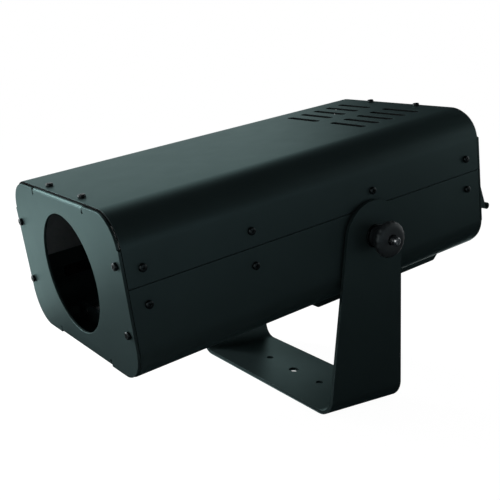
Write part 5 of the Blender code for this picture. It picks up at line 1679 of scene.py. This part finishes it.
def make_fuse():
    """A panel fuse holder: the fluted cap outside, the body and nut behind."""
    low, high = span("fuse_holder")
    x, z = middle_of("fuse_holder").xz
    face = TAIL_Y + PROUD
    cap = high.y - face
    tail = low.y - face
    place = at(x, face, z, ALONG_Y)
    levels = [(6.0, 0, -0.1), (7.2, 0, 0.0), (7.6, 0, 0.5), (7.6, 0, 2.0), (6.6, 0.5, 2.4),
              (6.6, 0.6, cap - 1.0), (6.0, 0.4, cap), (4.6, 0, cap), (4.3, 0, cap - 0.7), (0.4, 0, cap - 0.7)]
    piece("fuse_cap", capped_lobes(levels, 16), "black_plastic", place=place, node="fuse_holder")
    body = [(0, 0.1), (5.9, 0.1), (5.9, -17.0), (4.6, -19.0), (4.6, tail), (0, tail)]
    piece("fuse_body", turned(body, 48), "black_plastic", place=place, node="fuse_holder")
    nut = block([circle(0, 0, 8.2, 6), circle(0, 0, 6.0, 32)], -5.6, -2.5, 0.4)
    piece("fuse_nut", nut, "black_plastic", place=place, edge=0.2)


def make_switch():
    """A rocker in its snap-in frame, marked on and off."""
    low, high = span("switch_frame")
    centre = middle_of("switch_frame")
    thick = 1.8
    depth = 8.0
    place = at(centre.x, high.y - thick, centre.z, ALONG_Y)
    mouth = rounded_box(0, 0, 8.6, 5.2, 0.5, 3)
    outline = rounded_box(0, 0, (high.x - low.x) / 2, (high.z - low.z) / 2, 1.2, 4)
    piece("switch_bezel", block([outline, mouth], 0, thick, 0.4), "switch_plastic", place=place,
          edge=0.25, node="switch_frame")
    fitting_well("switch_well", mouth, depth, 0.9, "switch_plastic",
                 at(centre.x, high.y - 0.3, centre.z, ALONG_Y), "switch_frame")
    tags = [box((x - 0.4, -3.0, -17.0), (x + 0.4, 3.0, -depth)) for x in both(5.0)]
    piece("switch_tags", joined(*tags), "bright_steel", place=place, edge=0.15)

    # The rocker has two slopes, and at rest the end marked on is raised
    half = 8.0
    raised_end = 2.2
    middle = 0.9
    sunk_end = -0.2
    outline = [(-half, raised_end), (-7.9, 0.6), (-7.4, -1.2), (0, -4.6), (7.4, -2.8), (half, sunk_end)]
    for step in range(1, 12):
        x = half - 2 * half * step / 12
        inward = 1 - abs(x) / half
        end = raised_end if x < 0 else sunk_end
        outline.append((x, end + (middle - end) * inward - 0.25 * math.sin(math.pi * inward)))
    place = at(centre.x, TAIL_Y + 1.9, centre.z)
    piece("switch_rocker", block([outline], -4.8, 4.8), "switch_plastic", "rocker", place, edge=0.2,
          node="power_switch")
    slope = math.atan2(raised_end - middle, half)
    bar = moved(box((-0.3, -0.05, -1.6), (0.3, 0.05, 1.6)), -4.6, 1.4, 0, Matrix.Rotation(-slope, 4, "Z"))
    ring = turned([(1.7, -0.05), (1.7, 0.05), (1.25, 0.05), (1.25, -0.05)], 32)
    ring = moved(ring, 4.6, 0.05, 0, Matrix.Rotation(slope * 0.8, 4, "Z") @ ALONG_Y)
    piece("switch_marks", joined(bar, ring), "white_mark", "rocker", place)


def make_dimmer():
    """The dimmer: its can, threaded bush and shaft, knob with a pointer, and its scale."""
    low, high = span("dimmer_control")
    x, z = middle_of("dimmer_control").xz
    out = high.y - TAIL_Y
    back = low.y - TAIL_Y
    plate = at(x, TAIL_Y, z, ALONG_Y)
    can = [(0, -2.6), (8.0, -2.6), (8.5, -3.1), (8.5, back + 0.5), (8.0, back), (0, back)]
    bush = [(0, out), (3.0, out), (3.0, 2.6)]
    bush += [(3.3 + 0.3 * (step % 2), 2.5 - 0.35 * step) for step in range(14)]
    bush += [(3.3, -2.7), (0, -2.7)]
    piece("dimmer_can", turned(can, 48), "aluminium", place=plate, node="dimmer_control")
    piece("dimmer_bush", turned(bush, 40), "aluminium", place=plate, node="dimmer_control")
    tags = [box((place - 0.9, -11.0, -9.0), (place + 0.9, -8.0, -8.4)) for place in (-4.0, 0.0, 4.0)]
    piece("dimmer_tags", joined(*tags), "bright_steel", place=plate, edge=0.1)
    low, high = span("dimmer_knob")
    reach = high.y - low.y
    radius = (high.x - low.x) / 2
    levels = [(0.5, 0, 0.0), (radius - 0.5, 0, 0.0), (radius, 0, 0.4), (radius, 0, 1.6),
              (radius - 0.6, 0.35, 2.0), (radius - 1.0, 0.4, reach - 1.0), (radius - 1.6, 0.2, reach - 0.3),
              (radius - 2.4, 0, reach), (0.5, 0, reach - 0.2)]
    knob = at(x, low.y, z, ALONG_Y)
    piece("dimmer_dial", capped_lobes(levels, 24), "black_plastic", "dimmer", knob, node="dimmer_knob")
    pointer = box((-0.35, -5.4, reach - 0.25), (0.35, -1.5, reach + 0.05))
    piece("dimmer_pointer", pointer, "white_mark", "dimmer", knob)
    ticks = []
    for step in range(11):
        tick = 2.2 if step % 5 == 0 else 1.4
        bar = box((-0.2, -9.2 - tick, 0), (0.2, -9.2, 0.05))
        ticks.append(moved(bar, turn=Matrix.Rotation(math.radians(45 + 27 * step), 4, "Z")))
    piece("dimmer_scale", joined(*ticks), "white_mark", place=plate)


def make_hood_screws(sizes):
    """The hood's fixings through its top flange."""
    low, high = span("rear_hood")
    for number, x in enumerate(HOOD_SCREWS):
        piece("hood_screw_%d" % (number + 1), pan_screw(sizes, 4.5), "black_screw",
              place=at(x, low.y + COVER_WALL + 0.1, high.z - HOOD_FLANGE / 2,
                       ALONG_Y @ Matrix.Rotation(0.7 * number, 4, "Z")))


# The studio

def plane_object(name, size, place, turn, material):
    """A flat square of the stage."""
    shape = bmesh.new()
    bmesh.ops.create_grid(shape, x_segments=1, y_segments=1, size=size / 2)
    mesh = bpy.data.meshes.new(name)
    shape.to_mesh(mesh)
    shape.free()
    made = bpy.data.objects.new(name, mesh)
    made.matrix_world = Matrix.Translation(place) @ turn
    bpy.context.scene.collection.objects.link(made)
    mesh.materials.append(material)
    return made


WHITE = (1, 1, 1, 1)

# The floor's own light, and how much of it shows to the camera and to reflections
FLOOR_GLOW = 1.16
FLOOR_SHARE = 0.84


def seen_rays(start):
    """One for a ray from the camera, or one that a reflection or glass sends on."""
    camera = start.node("LightPath", output="Is Camera Ray")
    glossy = start.node("LightPath", output="Is Glossy Ray")
    through = start.node("LightPath", output="Is Transmission Ray")
    return start.maths("MAXIMUM", start.maths("MAXIMUM", camera, glossy), through)


def floor_material():
    """A pale floor: white where the camera or a reflection sees it, with the object's shadow."""
    material = bpy.data.materials.new("studio_floor")
    start = open_tree(material, "Material")
    white = start.node("Emission", {"Color": WHITE, "Strength": FLOOR_GLOW})
    matt = start.node("BsdfDiffuse", {"Color": (0.8, 0.8, 0.8, 1)})
    close_tree(start.node("MixShader", {0: seen_rays(start) * FLOOR_SHARE, 1: matt, 2: white}))
    return material


def make_world(studio):
    """Even light from all round, which shows as white."""
    world = bpy.data.worlds.new("studio")
    start = open_tree(world, "World")
    strength = studio.ambient + seen_rays(start) * (1.0 - studio.ambient)
    close_tree(start.node("Background", {"Color": WHITE, "Strength": strength}))
    bpy.context.scene.world = world


def add_lamp(name, place, target, size, power):
    """A rectangular lamp at a place, turned towards a target."""
    light = bpy.data.lights.new(name, "AREA")
    light.shape = "RECTANGLE"
    light.size, light.size_y = size
    light.energy = power
    lamp = bpy.data.objects.new(name, light)
    direction = Vector(target) - Vector(place)
    lamp.matrix_world = Matrix.Translation(place) @ direction.to_track_quat("-Z", "Y").to_matrix().to_4x4()
    bpy.context.scene.collection.objects.link(lamp)
    return lamp


def make_camera(studio):
    """The camera, turned by its bearing, its rise and its roll."""
    data = bpy.data.cameras.new("camera")
    data.sensor_width = 36.0
    data.lens = studio.focal
    camera = bpy.data.objects.new("camera", data)
    bearing = studio.azimuth
    rise = studio.elevation
    back = Vector((math.sin(bearing) * math.cos(rise), -math.cos(bearing) * math.cos(rise),
                   math.sin(rise)))
    level = Vector((math.cos(bearing), math.sin(bearing), 0))
    over = back.cross(level)
    right = level * math.cos(studio.roll) + over * math.sin(studio.roll)
    up = back.cross(right)
    turn = Matrix((right, up, back)).transposed().to_4x4()
    camera.matrix_world = Matrix.Translation(Vector(studio.place)) @ turn
    bpy.context.scene.collection.objects.link(camera)
    bpy.context.scene.camera = camera


def add_flag(name, size, place, turn, material):
    """A card that only reflections see, as a product studio uses them."""
    flag = plane_object(name, 1.0, Vector(place), turn @ Matrix.Diagonal((*size, 1, 1)), material)
    for kind in ("camera", "diffuse", "shadow", "transmission", "volume_scatter"):
        setattr(flag, "visible_" + kind, False)


def card_material(name, stops, axis="Y"):
    """A card's tone along one of its own axes, from one end to the other."""
    material = bpy.data.materials.new(name)
    place = open_tree(material, "Material").node("TexCoord", output="Object")
    along = place.node("SeparateXYZ", {0: place}, output=axis) + 0.5
    tone = along.node("ValToRGB", {0: along}, stops=stops)
    close_tree(tone.node("Emission", {"Color": tone, "Strength": 1.0}))
    return material


# The cards' darkest tone
BLACK = (0.012, 0.016, 0.018)


def make_studio(studio):
    """The floor, the lamps, and the cards that give the coat its light and dark bands."""
    plane_object("studio_floor", 12.0, Vector((0, 0, -0.0005)), Matrix.Identity(4), floor_material())
    make_world(studio)
    add_lamp("key", (-0.93, -0.86, 0.36), (0, -0.1, 0.16), (0.9, 0.65), studio.key)
    add_lamp("glint", (-0.95, -0.65, 0.72), (0, -0.2, 0.2), (0.28, 0.28), studio.glint)
    overhead = add_lamp("overhead", (-0.35, 0.15, 1.3), (0, 0, 0.15), (0.9, 0.9), studio.overhead)
    overhead.visible_glossy = False
    grey = (0.6,) * 3
    dim = (0.4,) * 3
    pale = (0.42, 0.47, 0.50)
    faint = (0.10, 0.12, 0.13)
    dark = card_material("studio_black", ((0.0, BLACK), (1.0, BLACK)))
    low = card_material("studio_low", ((0.0, dim), (1.0, dim)))
    left = card_material("studio_left", ((0.0, grey), (0.4, grey), (0.5, BLACK), (1.0, BLACK)))
    floor = card_material("studio_ground", ((0.0, BLACK), (0.44, BLACK), (0.58, pale), (1.0, pale)), "X")
    skirting = card_material("studio_skirting", ((0.0, pale), (0.55, pale), (0.9, faint), (1.0, BLACK)))
    level = Matrix.Identity(4)
    upright = ALONG_X
    askew = Matrix.Rotation(math.radians(-22.5), 4, "Z")
    add_flag("flag_above", (2.4, 2.4), (0.2, 0.0, 0.95), level, dark)
    add_flag("flag_floor", (1.3, 2.4), (0.63, 0.2, 0.001), askew, floor)
    add_flag("flag_back", (1.6, 1.0), (0.8, 1.05, 0.002), level, dark)
    add_flag("flag_low", (0.3, 0.4), (-0.1, -0.4, 0.001), level, low)
    add_flag("flag_right", (0.95, 2.4), (1.2, 0.2, 0.475), upright, dark)
    add_flag("flag_right_low", (0.35, 1.8), (1.19, 0.4, 0.175), upright, skirting)
    add_flag("flag_left", (0.9, 2.0), (-0.45, 0.5, 0.5), upright, left)
    make_camera(studio)
    bpy.context.scene.view_settings.view_transform = "Standard"


# Operators

def build(context, group, *makers):
    """Run makers on a group of settings, with its lengths in millimetres."""
    values = in_millimetres(getattr(context.scene, "followspot_" + group))
    for make in makers:
        make(values)
    return {"FINISHED"}


class FOLLOWSPOT_OT_finishes(bpy.types.Operator):
    """Makes every finish of the followspot"""
    bl_idname = "followspot.finishes"
    bl_label = "Finishes"

    def execute(self, context):
        make_finishes(context.scene.followspot_finishes)
        return {"FINISHED"}


class FOLLOWSPOT_OT_yoke(bpy.types.Operator):
    """Bends the yoke's strap"""
    bl_idname = "followspot.yoke"
    bl_label = "Yoke"

    def execute(self, context):
        return build(context, "yoke", make_yoke)


class FOLLOWSPOT_OT_casing(bpy.types.Operator):
    """Folds the two half casings"""
    bl_idname = "followspot.casing"
    bl_label = "Half casings"

    def execute(self, context):
        return build(context, "casing", make_top_shell, make_bottom_shell)


class FOLLOWSPOT_OT_plates(bpy.types.Operator):
    """Folds the front and rear plates"""
    bl_idname = "followspot.plates"
    bl_label = "End plates"

    def execute(self, context):
        return build(context, "casing", make_end_plates)


class FOLLOWSPOT_OT_covers(bpy.types.Operator):
    """Folds the rear hood and the bottom baffle"""
    bl_idname = "followspot.covers"
    bl_label = "Hood and baffle"

    def execute(self, context):
        make_hood()
        make_baffle()
        return {"FINISHED"}


class FOLLOWSPOT_OT_screws(bpy.types.Operator):
    """Sets every pan-head screw in its hole"""
    bl_idname = "followspot.screws"
    bl_label = "Screws"

    def execute(self, context):
        return build(context, "fasteners", make_screws)


class FOLLOWSPOT_OT_tilt_locks(bpy.types.Operator):
    """Makes the hand knobs of the tilt lock, with their bolts and washers"""
    bl_idname = "followspot.tilt_locks"
    bl_label = "Tilt locks"

    def execute(self, context):
        return build(context, "fasteners", make_tilt_locks)


class FOLLOWSPOT_OT_fixings(bpy.types.Operator):
    """Makes the seam rails and the ears behind the end plates' screws"""
    bl_idname = "followspot.fixings"
    bl_label = "Rails and ears"

    def execute(self, context):
        make_rails()
        make_tabs()
        return {"FINISHED"}


class FOLLOWSPOT_OT_focus(bpy.types.Operator):
    """Makes the objective in its carriage on its guide rods"""
    bl_idname = "followspot.focus"
    bl_label = "Focus carriage"

    def execute(self, context):
        return build(context, "optics", make_lens_carriage, make_rods)


class FOLLOWSPOT_OT_iris(bpy.types.Operator):
    """Makes the gate's bulkhead with the iris in front of it"""
    bl_idname = "followspot.iris"
    bl_label = "Gate and iris"

    def execute(self, context):
        return build(context, "optics", make_gate, make_iris)


class FOLLOWSPOT_OT_colour_wheel(bpy.types.Operator):
    """Makes the colour wheel and its filters"""
    bl_idname = "followspot.colour_wheel"
    bl_label = "Colour wheel"

    def execute(self, context):
        return build(context, "optics", make_wheel)


class FOLLOWSPOT_OT_light_engine(bpy.types.Operator):
    """Makes the emitter, its condenser, heat sink and supply"""
    bl_idname = "followspot.light_engine"
    bl_label = "Light engine"

    def execute(self, context):
        make_light_engine(in_millimetres(context.scene.followspot_optics))
        make_driver()
        return {"FINISHED"}


class FOLLOWSPOT_OT_fan(bpy.types.Operator):
    """Makes the fan"""
    bl_idname = "followspot.fan"
    bl_label = "Fan"

    def execute(self, context):
        return build(context, "optics", make_fan)


class FOLLOWSPOT_OT_controls(bpy.types.Operator):
    """Sets the inlet, fuse, switch and dimmer in the rear plate"""
    bl_idname = "followspot.controls"
    bl_label = "Rear fittings"

    def execute(self, context):
        for make in (make_inlet, make_fuse, make_switch, make_dimmer):
            make()
        make_hood_screws(in_millimetres(context.scene.followspot_fasteners))
        return {"FINISHED"}


class FOLLOWSPOT_OT_studio(bpy.types.Operator):
    """Sets up the floor, the light and the camera"""
    bl_idname = "followspot.studio"
    bl_label = "Studio"

    def execute(self, context):
        make_studio(context.scene.followspot_studio)
        return {"FINISHED"}


GROUPS = (("followspot_casing", CasingSizes), ("followspot_yoke", YokeSizes),
          ("followspot_fasteners", FastenerSizes), ("followspot_optics", OpticSizes),
          ("followspot_finishes", Finishes), ("followspot_studio", Studio))
OPERATORS = (FOLLOWSPOT_OT_finishes, FOLLOWSPOT_OT_yoke, FOLLOWSPOT_OT_casing, FOLLOWSPOT_OT_plates,
             FOLLOWSPOT_OT_covers, FOLLOWSPOT_OT_screws, FOLLOWSPOT_OT_tilt_locks,
             FOLLOWSPOT_OT_fixings, FOLLOWSPOT_OT_focus, FOLLOWSPOT_OT_iris,
             FOLLOWSPOT_OT_colour_wheel, FOLLOWSPOT_OT_light_engine, FOLLOWSPOT_OT_fan,
             FOLLOWSPOT_OT_controls, FOLLOWSPOT_OT_studio)


class FOLLOWSPOT_PT_panel(bpy.types.Panel):
    """Lists the followspot's settings and the steps that build it"""
    bl_idname = "FOLLOWSPOT_PT_panel"
    bl_label = "Followspot"
    bl_space_type = "VIEW_3D"
    bl_region_type = "UI"
    bl_category = "Followspot"

    def draw(self, context):
        for name, group in GROUPS:
            section = self.layout.box()
            settings = getattr(context.scene, name)
            for key in group.__annotations__:
                section.prop(settings, key)
        for operator in OPERATORS:
            self.layout.operator(operator.bl_idname)


def register():
    for name, group in GROUPS:
        bpy.utils.register_class(group)
        setattr(bpy.types.Scene, name, PointerProperty(type=group))
    for operator in OPERATORS:
        bpy.utils.register_class(operator)
    bpy.utils.register_class(FOLLOWSPOT_PT_panel)


def unregister():
    bpy.utils.unregister_class(FOLLOWSPOT_PT_panel)
    for operator in reversed(OPERATORS):
        bpy.utils.unregister_class(operator)
    for name, group in reversed(GROUPS):
        delattr(bpy.types.Scene, name)
        bpy.utils.unregister_class(group)


def main():
    register()
    for operator in OPERATORS:
        getattr(bpy.ops.followspot, operator.bl_idname.partition(".")[2])()


if __name__ == "__main__":
    main()
